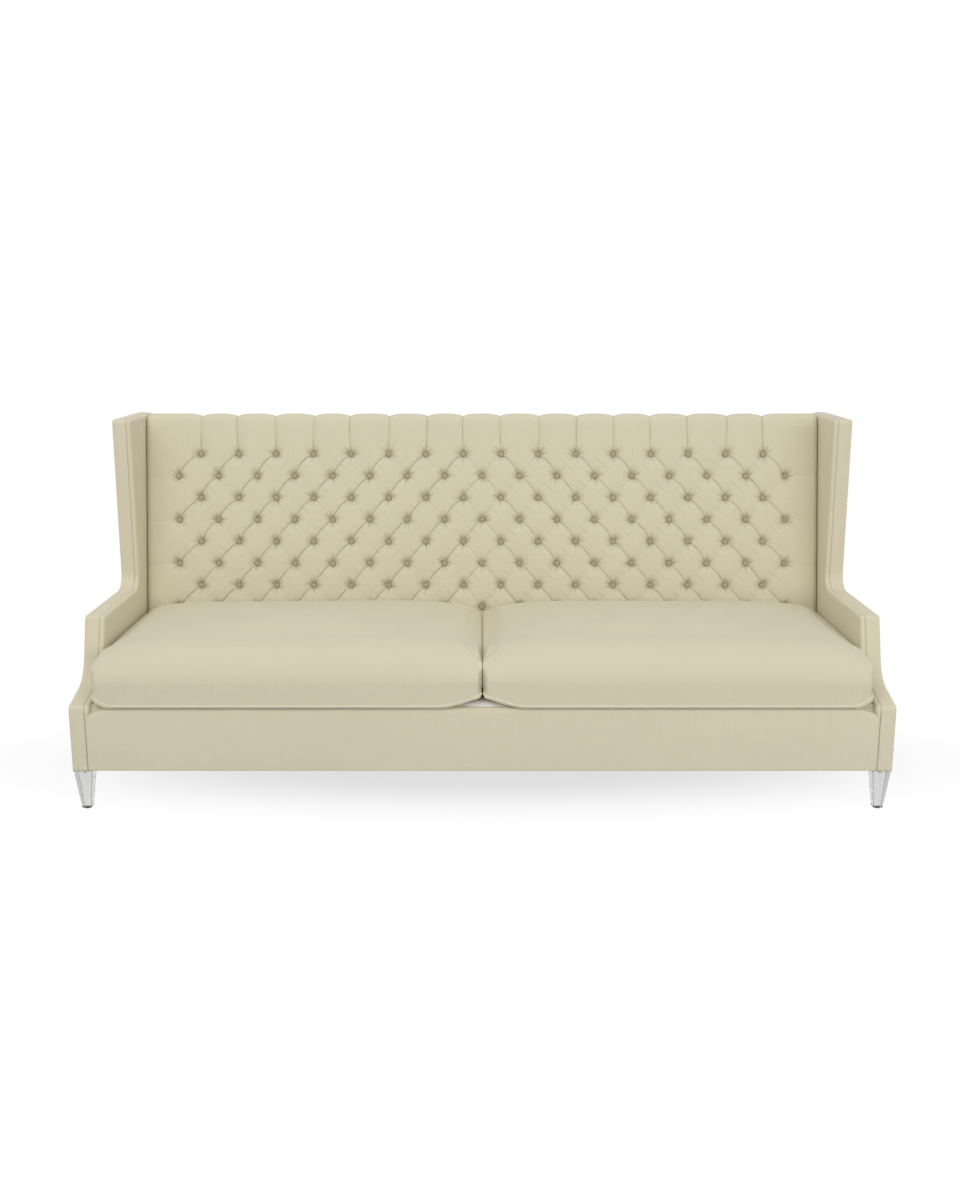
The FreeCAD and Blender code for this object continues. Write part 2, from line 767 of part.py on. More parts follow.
def domed_button():
    """A covered button: a flat back at the origin and a dome towards -Y."""
    dome_height = size("button_height") - size("button_rim")
    ball_radius = (size("button_radius") ** 2 + dome_height**2) / (2 * dome_height)
    ball = Part.makeSphere(ball_radius, Vector(0, ball_radius - size("button_height"), 0))
    slug = Part.makeCylinder(size("button_radius"), size("button_height"), Vector(0, 0, 0), Vector(0, -1, 0))
    return slug.common(ball)


button = domed_button()
twine_length = hessian_back - size("valley_depth")
buttons, twines = [], []
for x, slope in button_places:
    well_floor = Vector(x, size("valley_depth"), slope)
    placed = button.copy()
    placed.translate(well_floor)
    buttons.append(placed)
    twines.append(Part.makeCylinder(size("twine_radius"), twine_length, well_floor, Vector(0, 1, 0)))
add_shape("tuft_buttons", Part.makeCompound(buttons), back_placement)
add_shape("button_twines", Part.makeCompound(twines), back_placement)

hessian_deep = (size("pad_depth"), hessian_back)
back_hessian = box_between((-pad_half, pad_half), hessian_deep, (pad_low, pad_high))
add_shape("back_hessian", back_hessian, back_placement)

# Webbing behind the hessian: upright straps in front, level straps behind them
upright_deep = (hessian_back, hessian_back + size("webbing_thickness"))
level_deep = (upright_deep[1], size("frame_setback"))
upright_pitch = 2 * size("button_pitch")
upright_count = int(2 * pad_half // upright_pitch)
level_pitch = 2 * size("button_row_pitch")
level_count = int((pad_high - lower_rail_slope[1]) // level_pitch)
back_straps = []
for k in range(upright_count):
    x = (k - (upright_count - 1) / 2) * upright_pitch
    strap_wide = (x - strap_half, x + strap_half)
    back_straps.append(box_between(strap_wide, upright_deep, (lower_rail_start, pad_high)))
for k in range(level_count):
    slope = lower_rail_slope[1] + (k + 0.5) * level_pitch
    back_straps.append(
        box_between((-pad_half, pad_half), level_deep, (slope - strap_half, slope + strap_half))
    )
add_shape("back_webbing", Part.makeCompound(back_straps), back_placement)

# The padded top of the back, over the top rail
cap_rear = (f"{panel_rear('back_height')} - panel_clearance", "back_height")
add_profile(
    "top_back_pad",
    [
        (back_line("cap_z"), "cap_z"),
        (back_line("back_height"), "back_height"),
        cap_rear,
        (panel_rear("top_rail_z"), "top_rail_z"),
        (back_line("top_rail_z", "frame_setback"), "top_rail_z"),
    ],
    "-pad_half",
    "2 * pad_half",
    {(back_line("back_height"), "back_height"): "cap_radius", cap_rear: "nose_radius"},
)

# Outside back, and the dust cover under the seat with a window around each leg plate behind the rail

add_profile(
    "outside_back_cover",
    [
        (rear_line("leg_height"), "leg_height"),
        ("rear_y", "wing_height"),
        (panel_rear("wing_height"), "wing_height"),
        (panel_rear("leg_height"), "leg_height"),
    ],
    "-half_width",
    "overall_width",
)

leg_places = {
    "front_left_leg": (-size("leg_x"), size("front_leg_y")),
    "front_right_leg": (size("leg_x"), size("front_leg_y")),
    "rear_left_leg": (-size("leg_x"), size("rear_leg_y")),
    "rear_right_leg": (size("leg_x"), size("rear_leg_y")),
    "centre_leg": (0.0, 0.0),
}
dust_half = size("board_outer_x") - size("panel_clearance")
dust_rear = value(panel_rear("frame_z")) - size("panel_clearance")
dust_z = (size("frame_z") - size("hessian_thickness"), size("frame_z"))
dust_cover = box_between((-dust_half, dust_half), (size("rail_back_y"), dust_rear), dust_z)
window_half = size("plate_size") / 2 + size("panel_clearance")
for x, y in leg_places.values():
    window_z = (size("leg_height"), size("frame_z"))
    window = box_between((x - window_half, x + window_half), (y - window_half, y + window_half), window_z)
    dust_cover = dust_cover.cut(window)
add_shape("dust_cover", dust_cover)

# Legs, with their plates, screws, studs and glides

stud_hole = "stud_radius + stud_clearance"


def draw_square(sketch, width):
    """A square about the sketch's origin."""
    signs = ((-1, -1), (1, -1), (1, 1), (-1, 1))
    draw_polygon(sketch, [(f"{a} * {width} / 2", f"{b} * {width} / 2") for a, b in signs])


def add_leg(label, x, y):
    """A square tapered leg with a blind hole in its top for the stud."""
    body = doc.addObject("PartDesign::Body", label)
    foot = add_sketch(body, f"{label}_foot", "XY_Plane", "glide_thickness")
    draw_square(foot, "leg_foot")
    top = add_sketch(body, f"{label}_top", "XY_Plane", "leg_height")
    draw_square(top, "leg_top")
    taper = body.newObject("PartDesign::AdditiveLoft", f"{label}_taper")
    taper.Profile = foot
    taper.Sections = [top]
    add_bore(body, "0", "0", "leg_height", stud_hole, "stud_in_leg + stud_clearance", False)
    body.setExpression(".Placement.Base.x", bound(x))
    body.setExpression(".Placement.Base.y", bound(y))


leg_axes = (
    ("front_left_leg", "-leg_x", "front_leg_y", made_boards["left_seat_rail"]),
    ("front_right_leg", "leg_x", "front_leg_y", made_boards["right_seat_rail"]),
    ("rear_left_leg", "-leg_x", "rear_leg_y", made_boards["left_back_post"]),
    ("rear_right_leg", "leg_x", "rear_leg_y", made_boards["right_back_post"]),
    ("centre_leg", "0", "0", seat_stretcher),
)
for label, x, y, holder in leg_axes:
    add_leg(label, x, y)
    add_bore(holder, x, y, "frame_z", "stud_radius", "stud_in_frame", True)


def countersunk(grow):
    """A countersunk screw, head down at the origin, its radii grown for a clearance hole."""
    head_height = size("screw_head_height")
    shank_radius = size("plate_screw_radius") + grow
    head = Part.makeCone(size("screw_head_radius") + grow, shank_radius, head_height)
    shank_length = size("plate_screw_length") - head_height
    shank = Part.makeCylinder(shank_radius, shank_length, Vector(0, 0, head_height))
    return head.fuse(shank).removeSplitter()


screw, screw_hole = countersunk(0.0), countersunk(size("stud_clearance"))
base_z = size("leg_height")
plate_half = size("plate_size") / 2
screw_offset = size("plate_screw_spacing") / 2
stud_length = size("stud_in_leg") + size("underside_gap") + size("stud_in_frame")
plates, plate_screws, studs, glides = [], [], [], []
for x, y in leg_places.values():
    plate_wide, plate_deep = (x - plate_half, x + plate_half), (y - plate_half, y + plate_half)
    plate = box_between(plate_wide, plate_deep, (base_z, size("frame_z")))
    plate = plate.cut(Part.makeCylinder(value(stud_hole), size("underside_gap"), Vector(x, y, base_z)))
    for sign_x in (-1, 1):
        for sign_y in (-1, 1):
            head_place = Vector(x + sign_x * screw_offset, y + sign_y * screw_offset, base_z)
            plate = plate.cut(screw_hole.translated(head_place))
            plate_screws.append(screw.translated(head_place))
    plates.append(plate)
    stud_foot = Vector(x, y, base_z - size("stud_in_leg"))
    studs.append(Part.makeCylinder(size("stud_radius"), stud_length, stud_foot))
    glides.append(Part.makeCylinder(size("glide_radius"), size("glide_thickness"), Vector(x, y, 0)))
add_shape("leg_plates", Part.makeCompound(plates))
add_shape("plate_screws", Part.makeCompound(plate_screws))
add_shape("leg_studs", Part.makeCompound(studs))
add_shape("leg_glides", Part.makeCompound(glides))

# Loose seat cushions, each a cover around a filling, with a zip let into the back of the cover


def meeting(line_a, line_b):
    """The point where two lines meet, each given as a point and a direction."""
    (a, to_a), (b, to_b) = line_a, line_b
    along = ((b - a).x * to_b.y - (b - a).y * to_b.x) / (to_a.x * to_b.y - to_a.y * to_b.x)
    return a + to_a * along


def inset_corners(corners, inset):
    """A counterclockwise outline of (a, b, radius) corners with all its edges moved in."""
    lines = []
    for k, (a, b, _) in enumerate(corners):
        after = corners[(k + 1) % len(corners)]
        to_next = Vector(after[0] - a, after[1] - b, 0).normalize()
        lines.append((Vector(a - to_next.y * inset, b + to_next.x * inset, 0), to_next))
    moved = []
    for k, (_, _, radius) in enumerate(corners):
        corner = meeting(lines[k - 1], lines[k])
        moved.append((corner.x, corner.y, max(radius - inset, 1.0)))
    return moved


def rounded_face(corners, place):
    """A face through (a, b, radius) corners, with an arc at each; place puts a point in space."""
    edges, starts, ends = [], [], []
    for k, (a, b, radius) in enumerate(corners):
        corner = Vector(a, b, 0)
        before, after = corners[k - 1], corners[(k + 1) % len(corners)]
        to_before = (Vector(before[0], before[1], 0) - corner).normalize()
        to_after = (Vector(after[0], after[1], 0) - corner).normalize()
        half_angle = to_before.getAngle(to_after) / 2
        reach = radius / math.tan(half_angle)
        bisector = (to_before + to_after).normalize()
        middle = corner + bisector * (radius / math.sin(half_angle) - radius)
        starts.append(place(corner + to_before * reach))
        ends.append(place(corner + to_after * reach))
        edges.append(Part.Arc(starts[-1], place(middle), ends[-1]).toShape())
    for k in range(len(corners)):
        edges.append(Part.makeLine(ends[k], starts[(k + 1) % len(corners)]))
    return Part.Face(Part.Wire(Part.__sortEdges__(edges)))


cushion_x = (size("cushion_middle_gap") / 2, size("inner_x") - size("cushion_side_gap"))
cushion_bottom = size("deck_height") + size("cushion_lift")
cushion_front = size("front_y") + size("cushion_front_gap")
cushion_deep = f"{-size('crest_rise') - size('cushion_back_gap')}"
outer_corner, seam_corner = size("cushion_corner_radius"), size("cushion_seam_radius")


def cushion_rear(z):
    return value(back_line(str(z), cushion_deep))


def cushion_solid(inset):
    """A crowned right-hand cushion: what its side, front and plan outlines have in common."""
    deck, crown_radius = size("deck_height"), size("cushion_crown_radius")
    crown = deck + size("cushion_crown_thickness")
    front_top = deck + size("cushion_front_thickness")
    back_top_z = deck + size("cushion_back_thickness")
    middle_y = (cushion_front + cushion_rear(back_top_z)) / 2
    side_outline = [
        (cushion_front, cushion_bottom, seam_corner),
        (cushion_rear(cushion_bottom), cushion_bottom, seam_corner),
        (cushion_rear(back_top_z), back_top_z, outer_corner),
        (middle_y, crown, crown_radius),
        (cushion_front, front_top, size("cushion_front_radius")),
    ]
    near_x, far_x = cushion_x
    side_top = deck + size("cushion_side_thickness")
    front_outline = [
        (near_x, cushion_bottom, seam_corner),
        (far_x, cushion_bottom, seam_corner),
        (far_x, side_top, outer_corner),
        ((near_x + far_x) / 2, crown + size("cushion_side_swell"), 2 * crown_radius),
        (near_x, side_top, outer_corner),
    ]
    rear_y = cushion_rear(crown)
    plan_outline = [
        (near_x, cushion_front, outer_corner),
        (far_x, cushion_front, outer_corner),
        (far_x, rear_y, outer_corner),
        (near_x, rear_y, outer_corner),
    ]
    side_face = rounded_face(inset_corners(side_outline, inset), lambda p: Vector(0, p.x, p.y))
    front_corners = inset_corners(front_outline, inset)
    front_face = rounded_face(front_corners, lambda p: Vector(p.x, size("front_y"), p.y))
    plan_face = rounded_face(inset_corners(plan_outline, inset), lambda p: Vector(p.x, p.y, 0))
    solid = side_face.extrude(Vector(size("inner_x"), 0, 0))
    solid = solid.common(front_face.extrude(Vector(0, size("overall_depth"), 0)))
    return solid.common(plan_face.extrude(Vector(0, 0, size("back_height"))))


zip_placement = Placement(
    Vector(0, cushion_rear(cushion_bottom), cushion_bottom), Rotation(Vector(1, 0, 0), -size("back_recline"))
)
zip_x = (cushion_x[0] + size("zip_end_gap"), cushion_x[1] - size("zip_end_gap"))


def zip_box(x, height, deepest, shallowest):
    """A box about the zip's centre line, its depths measured in from the back of the cushion."""
    middle = size("zip_height")
    return box_between(x, (-deepest, -shallowest), (middle - height / 2, middle + height / 2))


def zip_recess(grow):
    """The space around the zip's channel, grown on every side, placed at the back of the cushion."""
    recess_x = (zip_x[0] - grow, zip_x[1] + grow)
    height = size("zip_channel_height") + 2 * grow
    recess = zip_box(recess_x, height, size("zip_channel_depth") + grow, -size("cushion_back_gap"))
    recess.Placement = zip_placement
    return recess


wall = size("cushion_cover_thickness")
core_inset = wall + size("core_clearance")
shell_solid = cushion_solid(0.0).cut(zip_recess(0.0))
cushion_cover = shell_solid.cut(cushion_solid(wall).cut(zip_recess(wall)))
cushion_core = cushion_solid(core_inset).cut(zip_recess(core_inset))

tape_face = size("zip_channel_depth") - size("zip_tape_thickness")
chain_face = tape_face - size("zip_chain_thickness")
tape = zip_box(zip_x, size("zip_tape_height"), size("zip_channel_depth"), tape_face)
chain = zip_box(zip_x, size("zip_chain_height"), tape_face, chain_face)
zip_tape = tape.fuse(chain).removeSplitter()

gap = size("slider_clearance")
slider_start = zip_x[0] + gap
slider_x = (slider_start, slider_start + size("slider_length"))
pull_x = (slider_start, slider_start + size("pull_length"))
slider_face = tape_face - gap - size("slider_thickness")
slider = zip_box(slider_x, size("slider_height"), tape_face - gap, slider_face)
groove = zip_box(slider_x, size("zip_chain_height") + 2 * gap, tape_face, chain_face - gap)
pull = zip_box(pull_x, size("pull_height"), slider_face, slider_face - size("pull_thickness"))
zip_slider = slider.cut(groove).fuse(pull).removeSplitter()

for side, name in sides:
    for piece, shape, placement in (
        ("cushion_cover", cushion_cover, None),
        ("cushion_core", cushion_core, None),
        ("zip_tape", zip_tape, zip_placement),
        ("zip_slider", zip_slider, zip_placement),
    ):
        if side < 0:
            shape = shape.mirror(Vector(0, 0, 0), Vector(1, 0, 0))
        add_shape(f"{name}_{piece}", shape, placement)

# Checks, then one STEP file for each sub-part

doc.recompute()
sub_parts = []
for item in doc.Objects:
    if "Invalid" in item.State or "Error" in item.State:
        raise RuntimeError(f"{item.Label} failed: {item.State}")
    if item.TypeId in ("PartDesign::Body", "Part::Box", "Part::Feature"):
        sub_parts.append(item)

os.makedirs("parts", exist_ok=True)
for piece in sub_parts:
    shape = piece.Shape
    if shape.isNull() or not shape.isValid() or not shape.Solids:
        raise RuntimeError(f"{piece.Label} has no valid solid")
    shape.exportStep(f"parts/{piece.Label}.step")
print(f"{len(sub_parts)} sub-parts, {sum(len(p.Shape.Solids) for p in sub_parts)} solids")
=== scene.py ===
# %% [markdown]
# # High back settee
# The hard frame comes from the CAD model. Everything soft is made here: a buttoned back, padded arms and
# wings, two seat cushions, and the bands, cloths and stitching that finish them. Load the frame first, so
# that each soft piece can be measured against the piece it stands for.

import math
import random

import bmesh
import bpy
import numpy as np
from mathutils import Matrix, Vector
from mathutils.bvhtree import BVHTree
from mathutils.geometry import delaunay_2d_cdt


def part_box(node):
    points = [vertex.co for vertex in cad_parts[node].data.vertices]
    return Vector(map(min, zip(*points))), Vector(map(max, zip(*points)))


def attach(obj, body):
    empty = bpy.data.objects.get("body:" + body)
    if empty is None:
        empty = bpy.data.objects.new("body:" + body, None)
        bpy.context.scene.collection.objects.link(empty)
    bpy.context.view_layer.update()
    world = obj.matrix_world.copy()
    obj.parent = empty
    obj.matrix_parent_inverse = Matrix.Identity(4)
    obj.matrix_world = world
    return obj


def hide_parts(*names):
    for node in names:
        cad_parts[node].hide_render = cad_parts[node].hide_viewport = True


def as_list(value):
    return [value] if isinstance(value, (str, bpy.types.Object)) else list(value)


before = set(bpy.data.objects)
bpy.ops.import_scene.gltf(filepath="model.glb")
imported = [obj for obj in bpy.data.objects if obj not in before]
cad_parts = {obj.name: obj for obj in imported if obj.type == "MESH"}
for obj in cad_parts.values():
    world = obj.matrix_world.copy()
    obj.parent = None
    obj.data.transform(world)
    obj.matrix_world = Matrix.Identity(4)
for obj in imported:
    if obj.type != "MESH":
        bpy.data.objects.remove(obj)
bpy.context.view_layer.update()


# %% [markdown]
# ## The sizes that the soft pieces share
# All lengths are in metres. The origin is on the floor in the middle, and -Y is the front. Sizes could be
# typed where they are needed, but then a band and the panel beside it drift apart. So write each shared size
# once and give it a name.

# %% Shared sizes
SIDES = ((-1, "left"), (1, "right"))
HALF_WIDTH = 1.220
FRONT_Y = -0.480
REAR_Y = 0.480
BASE_Z = 0.125
DECK_Z = 0.322
WING_Z = 1.112
BACK_Z = 1.118
SEAM_X = 1.175
SEAT_BACK_Y = 0.203
RECLINE = math.radians(11.27)
RAKE = math.tan(math.radians(5.5))
MM = 0.001
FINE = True

# The side outline of arm and wing: (y, z, corner radius), from the bottom of the base up and back
ARM_AND_WING = [
    (FRONT_Y, BASE_Z, 0.0),
    (FRONT_Y, 0.324, 0.0125),
    (-0.322, 0.365, 0.110),
    (-0.263, 0.548, 0.0125),
    (0.156, 0.548, 0.055),
    (0.156, WING_Z, 0.0125),
    (0.4775, WING_Z, 0.0),
]


def rear_line(z):
    """Y of the settee's outer back at a height."""
    return REAR_Y - (WING_Z - z) * RAKE


def back_line(z, deep=0.0):
    """Y at a height of the plane that lies deep behind the face of the back."""
    return SEAT_BACK_Y + (z - DECK_Z) * math.tan(RECLINE) + deep / math.cos(RECLINE)


def smooth(value, low, high):
    """0 below low, 1 above high, and an even curve between."""
    t = np.clip((value - low) / (high - low), 0.0, 1.0)
    return t * t * (3 - 2 * t)


print("outline corners", len(ARM_AND_WING))

# %% [markdown]
# ## A short way to write finishes
# A finish is a network of shader nodes. It could be drawn in the shader editor or read from image files, but
# nodes made by a script need no file and stay sharp at any distance. This class adds a node, sets it and
# links it in one line.

# %% Shader helpers


def rgb(red, green, blue):
    """A screen colour from 0 to 255 as the linear colour that shaders use."""
    linear = [((c / 255 + 0.055) / 1.055) ** 2.4 for c in (red, green, blue)]
    return (*linear, 1.0)


def toned(colour, share):
    """The colour made darker or lighter."""
    return (*(min(1.0, c * share) for c in colour[:3]), 1.0)


class Nodes:
    """The nodes of one finish."""

    def __init__(self, tree):
        self.tree = tree

    def add(self, kind, *inputs, **settings):
        made = self.tree.nodes.new(kind)
        for name, setting in settings.items():
            setattr(made, name, setting)
        for index, source in enumerate(inputs):
            self.feed(made.inputs[index], source)
        return made

    def feed(self, socket, source):
        if source is None:
            return
        if isinstance(source, bpy.types.NodeSocket):
            self.tree.links.new(source, socket)
        else:
            socket.default_value = source

    def feed_all(self, made, **sources):
        for name, source in sources.items():
            self.feed(made.inputs[name], source)
        return made.outputs[0]

    def math(self, operation, *inputs):
        return self.add("ShaderNodeMath", *inputs, operation=operation).outputs[0]

    def vector(self, operation, *inputs, output=0):
        return self.add("ShaderNodeVectorMath", *inputs, operation=operation).outputs[output]

    def blend(self, share, first, second):
        mix = self.add("ShaderNodeMix", data_type="RGBA")
        self.feed_all(mix, Factor=share, A=first, B=second)
        return mix.outputs["Result"]

    def ramp(self, source, start, end, first, last):
        """An even curve from first to last while the source goes from start to end."""
        levels = (source, start, end, first, last)
        return self.add("ShaderNodeMapRange", *levels, interpolation_type="SMOOTHSTEP").outputs[0]

    def place(self):
        return self.add("ShaderNodeTexCoord").outputs["Object"]

    def noise(self, place, scale, detail=2.0, distortion=0.0):
        made = self.add("ShaderNodeTexNoise", place)
        return self.feed_all(made, Scale=scale, Detail=detail, Distortion=distortion)

    def bump(self, height, strength, distance, normal=None, invert=False):
        made = self.add("ShaderNodeBump", invert=invert)
        return self.feed_all(made, Height=height, Strength=strength, Distance=distance, Normal=normal)


def surface(name, colour, roughness, **sockets):
    """A material with one shader; uniform numbers go on the shader's own sockets."""
    material = bpy.data.materials.new(name)
    material.use_nodes = True
    shader = material.node_tree.nodes["Principled BSDF"]
    shader.inputs["Base Color"].default_value = colour
    shader.inputs["Roughness"].default_value = roughness
    for socket, number in sockets.items():
        shader.inputs[socket.replace("_", " ")].default_value = number
    material.diffuse_color = colour
    return material, Nodes(material.node_tree), shader


print("cream", [round(c, 3) for c in rgb(214, 206, 180)])

# %% [markdown]
# ## Linen, and the other cloths
# The cover is a plain linen weave: one calm cream from far away, threads and a few thick ones close up. An
# image would need every piece unwrapped. Two sine waves along the surface need only its normal, which says
# which two directions those are.

# %% Woven cloth


def in_surface(nodes):
    """The two directions along the surface, from the object's own coordinates."""
    normal = nodes.add("ShaderNodeNewGeometry").outputs["Normal"]
    px, py, pz = nodes.add("ShaderNodeSeparateXYZ", nodes.place()).outputs[:3]
    facing = nodes.vector("ABSOLUTE", normal)
    nx, ny, nz = nodes.add("ShaderNodeSeparateXYZ", facing).outputs[:3]
    faces_side = nodes.math("GREATER_THAN", nx, nodes.math("MAXIMUM", ny, nz))
    faces_up = nodes.math("GREATER_THAN", nz, nodes.math("MAXIMUM", nx, ny))
    ways = []
    for turned, first in ((faces_side, px), (faces_up, pz)):
        mix = nodes.add("ShaderNodeMix", turned, data_type="FLOAT")
        nodes.feed_all(mix, A=first, B=py)
        ways.append(mix.outputs["Result"])
    return ways


def stretched_noise(nodes, across, along, scale_across, scale_along):
    """Noise drawn out along one direction, as in a thread."""
    a = nodes.math("MULTIPLY", across, scale_across)
    b = nodes.math("MULTIPLY", along, scale_along)
    return nodes.noise(nodes.add("ShaderNodeCombineXYZ", a, b, 0.0).outputs[0], 1.0)


def woven(name, colour, thread, slub=0.10, tone=0.06, bump=0.25, crease=0.0, folds=None, **sockets):
    """A plain weave with slubby threads, broad changes of tone and, if asked, creases and folds with painted
    shade.
    """
    material, nodes, shader = surface(name, colour, 0.9, **sockets)
    across, along = in_surface(nodes)
    turns = math.pi / thread
    warp, weft = (nodes.math("SINE", nodes.math("MULTIPLY", way, turns)) for way in (across, along))
    weave = nodes.math("MULTIPLY_ADD", nodes.math("MULTIPLY", warp, weft), 0.5, 0.5)
    upright_slubs = stretched_noise(nodes, across, along, 9.0, 0.55 / thread)
    level_slubs = stretched_noise(nodes, across, along, 0.55 / thread, 9.0)
    slubs = nodes.math("ADD", upright_slubs, level_slubs)
    dark, light = toned(colour, 1 - slub), toned(colour, 1 + slub)
    threads = nodes.blend(nodes.math("MULTIPLY", slubs, 0.5), dark, light)
    broad = nodes.noise(nodes.place(), 3.1, 4.0)
    cover = nodes.blend(nodes.math("MULTIPLY", broad, 0.7), threads, toned(colour, 1 - tone))
    bent = None
    if crease:
        bent = nodes.bump(nodes.noise(nodes.place(), 7.0, 3.0, 0.6), crease, 0.012)
    # Folds paint their shade into the colour and their depth into the bump.
    if folds:
        shade, depth = folds(nodes)
        cover = nodes.blend(shade, cover, toned(colour, 0.36))
        bent = nodes.bump(depth, 0.6, 0.0022, invert=True)
    nodes.feed(shader.inputs["Base Color"], cover)
    height = nodes.math("MULTIPLY_ADD", slubs, 0.6, weave)
    nodes.feed(shader.inputs["Normal"], nodes.bump(height, bump, thread * 0.6, bent))
    return material


CREAM = rgb(214, 206, 180)
LINEN_THREAD = 0.0011
SHEEN = {"Sheen_Weight": 0.15, "Sheen_Roughness": 0.5}
FAINT_SHEEN = {"Sheen_Weight": 0.1, "Sheen_Roughness": 0.5}
linen = woven("cream_linen", CREAM, LINEN_THREAD, crease=0.10, **SHEEN)
# The cushions are the same linen, painted a little darker as shade against the light that falls on their
# tops.
shaded_cushion_linen = woven("shaded_cushion_linen", rgb(210, 202, 176), LINEN_THREAD, crease=0.16, **SHEEN)
# The buttons are the same linen, painted darker for the shade in the pits they sit in.
shaded_button_linen = woven("shaded_button_linen", rgb(178, 166, 136), LINEN_THREAD, slub=0.14, **FAINT_SHEEN)
# The self-edges are the same linen, painted lighter for the highlight along their round edge; the spring
# twines reuse it.
welt_highlight_linen = woven("welt_highlight_linen", rgb(222, 216, 196), LINEN_THREAD, slub=0.14, **FAINT_SHEEN)
deck_cloth_finish = woven("pale_deck_cloth", rgb(247, 244, 245), 0.0009, slub=0.03, tone=0.02)
dust_finish = woven("black_dust_cloth", rgb(38, 37, 36), 0.0014, slub=0.2, tone=0.3, bump=0.4)
hessian_finish = woven("jute_hessian", rgb(168, 136, 94), 0.0028, slub=0.22, tone=0.15, bump=0.6)
webbing_finish = woven("jute_webbing", rgb(150, 122, 84), 0.0035, slub=0.2, tone=0.12, bump=0.6)
wadding_finish = woven("white_wadding", rgb(236, 234, 228), 0.006, slub=0.05, tone=0.05, bump=0.2)
tape_finish = woven("zip_tape_cloth", rgb(196, 187, 160), 0.0008, slub=0.08, tone=0.05)
felt_finish = woven("felt", rgb(176, 176, 174), 0.0006, slub=0.3, tone=0.2, bump=0.5)
print("cloths", len(bpy.data.materials))

# %% [markdown]
# ## Painted shade along the folds
# A thin line of shade runs along each fold of the real back, and short wrinkles radiate from each button.
# They are finer than a light mesh can hold, so the finish paints their shade and bumps them. It reads marks
# that the cloth's points will carry: how far the nearest fold is, and where the nearest button.

# %% Painted fold shade in the finish


def marked(nodes, name, output="Fac"):
    """What was marked on the cloth's points under a name."""
    return nodes.add("ShaderNodeAttribute", attribute_name=name).outputs[output]


def fold_shade_and_bump(nodes):
    """Painted shade and depth for the line of each fold, and for the short wrinkles that radiate from each
    button.
    """
    near_fold = nodes.ramp(marked(nodes, "fold_gap"), 0.0002, 0.0019, 1.0, 0.0)
    line = nodes.math("MULTIPLY", near_fold, marked(nodes, "fold_weight"))
    from_button = marked(nodes, "from_button", "Vector")
    away = nodes.vector("LENGTH", from_button, output="Value")
    way = nodes.vector("NORMALIZE", from_button)
    spread = nodes.vector("MULTIPLY", way, (2.0, 2.0, 2.0))
    seeds = nodes.add("ShaderNodeCombineXYZ", marked(nodes, "button_seed"), 0.0, 0.0).outputs[0]
    uneven = nodes.noise(nodes.vector("ADD", spread, seeds), 1.0, 1.0)
    off = nodes.math("ABSOLUTE", nodes.math("SUBTRACT", uneven, 0.5))
    ray = nodes.ramp(off, 0.0, 0.045, 1.0, 0.0)
    outside_button = nodes.ramp(away, 0.007, 0.012, 0.0, 1.0)
    dying_away = nodes.ramp(away, 0.013, 0.042, 1.0, 0.0)
    wrinkle = nodes.math("MULTIPLY", ray, nodes.math("MULTIPLY", outside_button, dying_away))
    # The shade of folds and wrinkles is painted into the colour; their depth goes to the bump.
    shade = nodes.math("MAXIMUM", nodes.math("MULTIPLY", line, 0.70), nodes.math("MULTIPLY", wrinkle, 0.30))
    depth = nodes.math("MAXIMUM", nodes.math("MULTIPLY", line, 0.8), wrinkle)
    return shade, depth


fold_shaded_linen = woven("fold_shaded_linen", CREAM, LINEN_THREAD, folds=fold_shade_and_bump, **SHEEN)
print("tufted linen", len(fold_shaded_linen.node_tree.nodes), "nodes")

# %% [markdown]
# ## Wood, metal and acrylic
# The frame is beech, the leg plates are zinc plated, the zips are brass and the legs clear acrylic. Nothing
# real is evenly polished, so a noise changes the roughness a little. The edges of an acrylic leg look darker
# than its faces, because light leaves them sideways. A darker tint paints that shade on cheaply, and a
# lighter grey tint on the faces paints the shade of the surroundings seen through them.

# %% Hard finishes


def hardwood():
    """Beech with long grain and a few darker streaks."""
    material, nodes, shader = surface("beech", rgb(196, 160, 118), 0.55)
    across, along = in_surface(nodes)
    grain = stretched_noise(nodes, across, along, 6.0, 120.0)
    streaks = stretched_noise(nodes, across, along, 2.0, 22.0)
    grained = nodes.blend(nodes.math("MULTIPLY", grain, streaks), rgb(206, 172, 130), rgb(166, 126, 86))
    nodes.feed(shader.inputs["Base Color"], grained)
    nodes.feed(shader.inputs["Normal"], nodes.bump(grain, 0.2, 0.0006))
    return material


def uneven_polish(nodes, shader, scale, low, spread):
    """Roughness that changes over the surface, from low up to low plus spread."""
    level = nodes.math("MULTIPLY_ADD", nodes.noise(nodes.place(), scale), spread, low)
    nodes.feed(shader.inputs["Roughness"], level)


def metal(name, colour, roughness):
    """Plated metal."""
    material, nodes, shader = surface(name, colour, roughness, Metallic=1.0)
    uneven_polish(nodes, shader, 260.0, roughness - 0.1, 0.25)
    return material


def polished_acrylic(name, tint, transmission):
    """Clear acrylic with a few fine scuffs; the grey tint is painted shade for the surroundings seen through
    the block.
    """
    colour = (tint, tint, tint * 0.995, 1.0)
    material, nodes, shader = surface(name, colour, 0.1, Transmission_Weight=transmission, IOR=1.36)
    uneven_polish(nodes, shader, 60.0, 0.06, 0.10)
    return material


beech = hardwood()
zinc = metal("zinc_plate", (0.62, 0.62, 0.60, 1.0), 0.35)
zip_brass = metal("antique_brass", (0.42, 0.33, 0.18, 1.0), 0.38)
# Both tints are painted shade: grey on the faces, darker on the chamfers.
acrylic = polished_acrylic("clear_acrylic", 0.73, 0.9)
shaded_acrylic_edge = polished_acrylic("shaded_acrylic_edge", 0.36, 0.6)

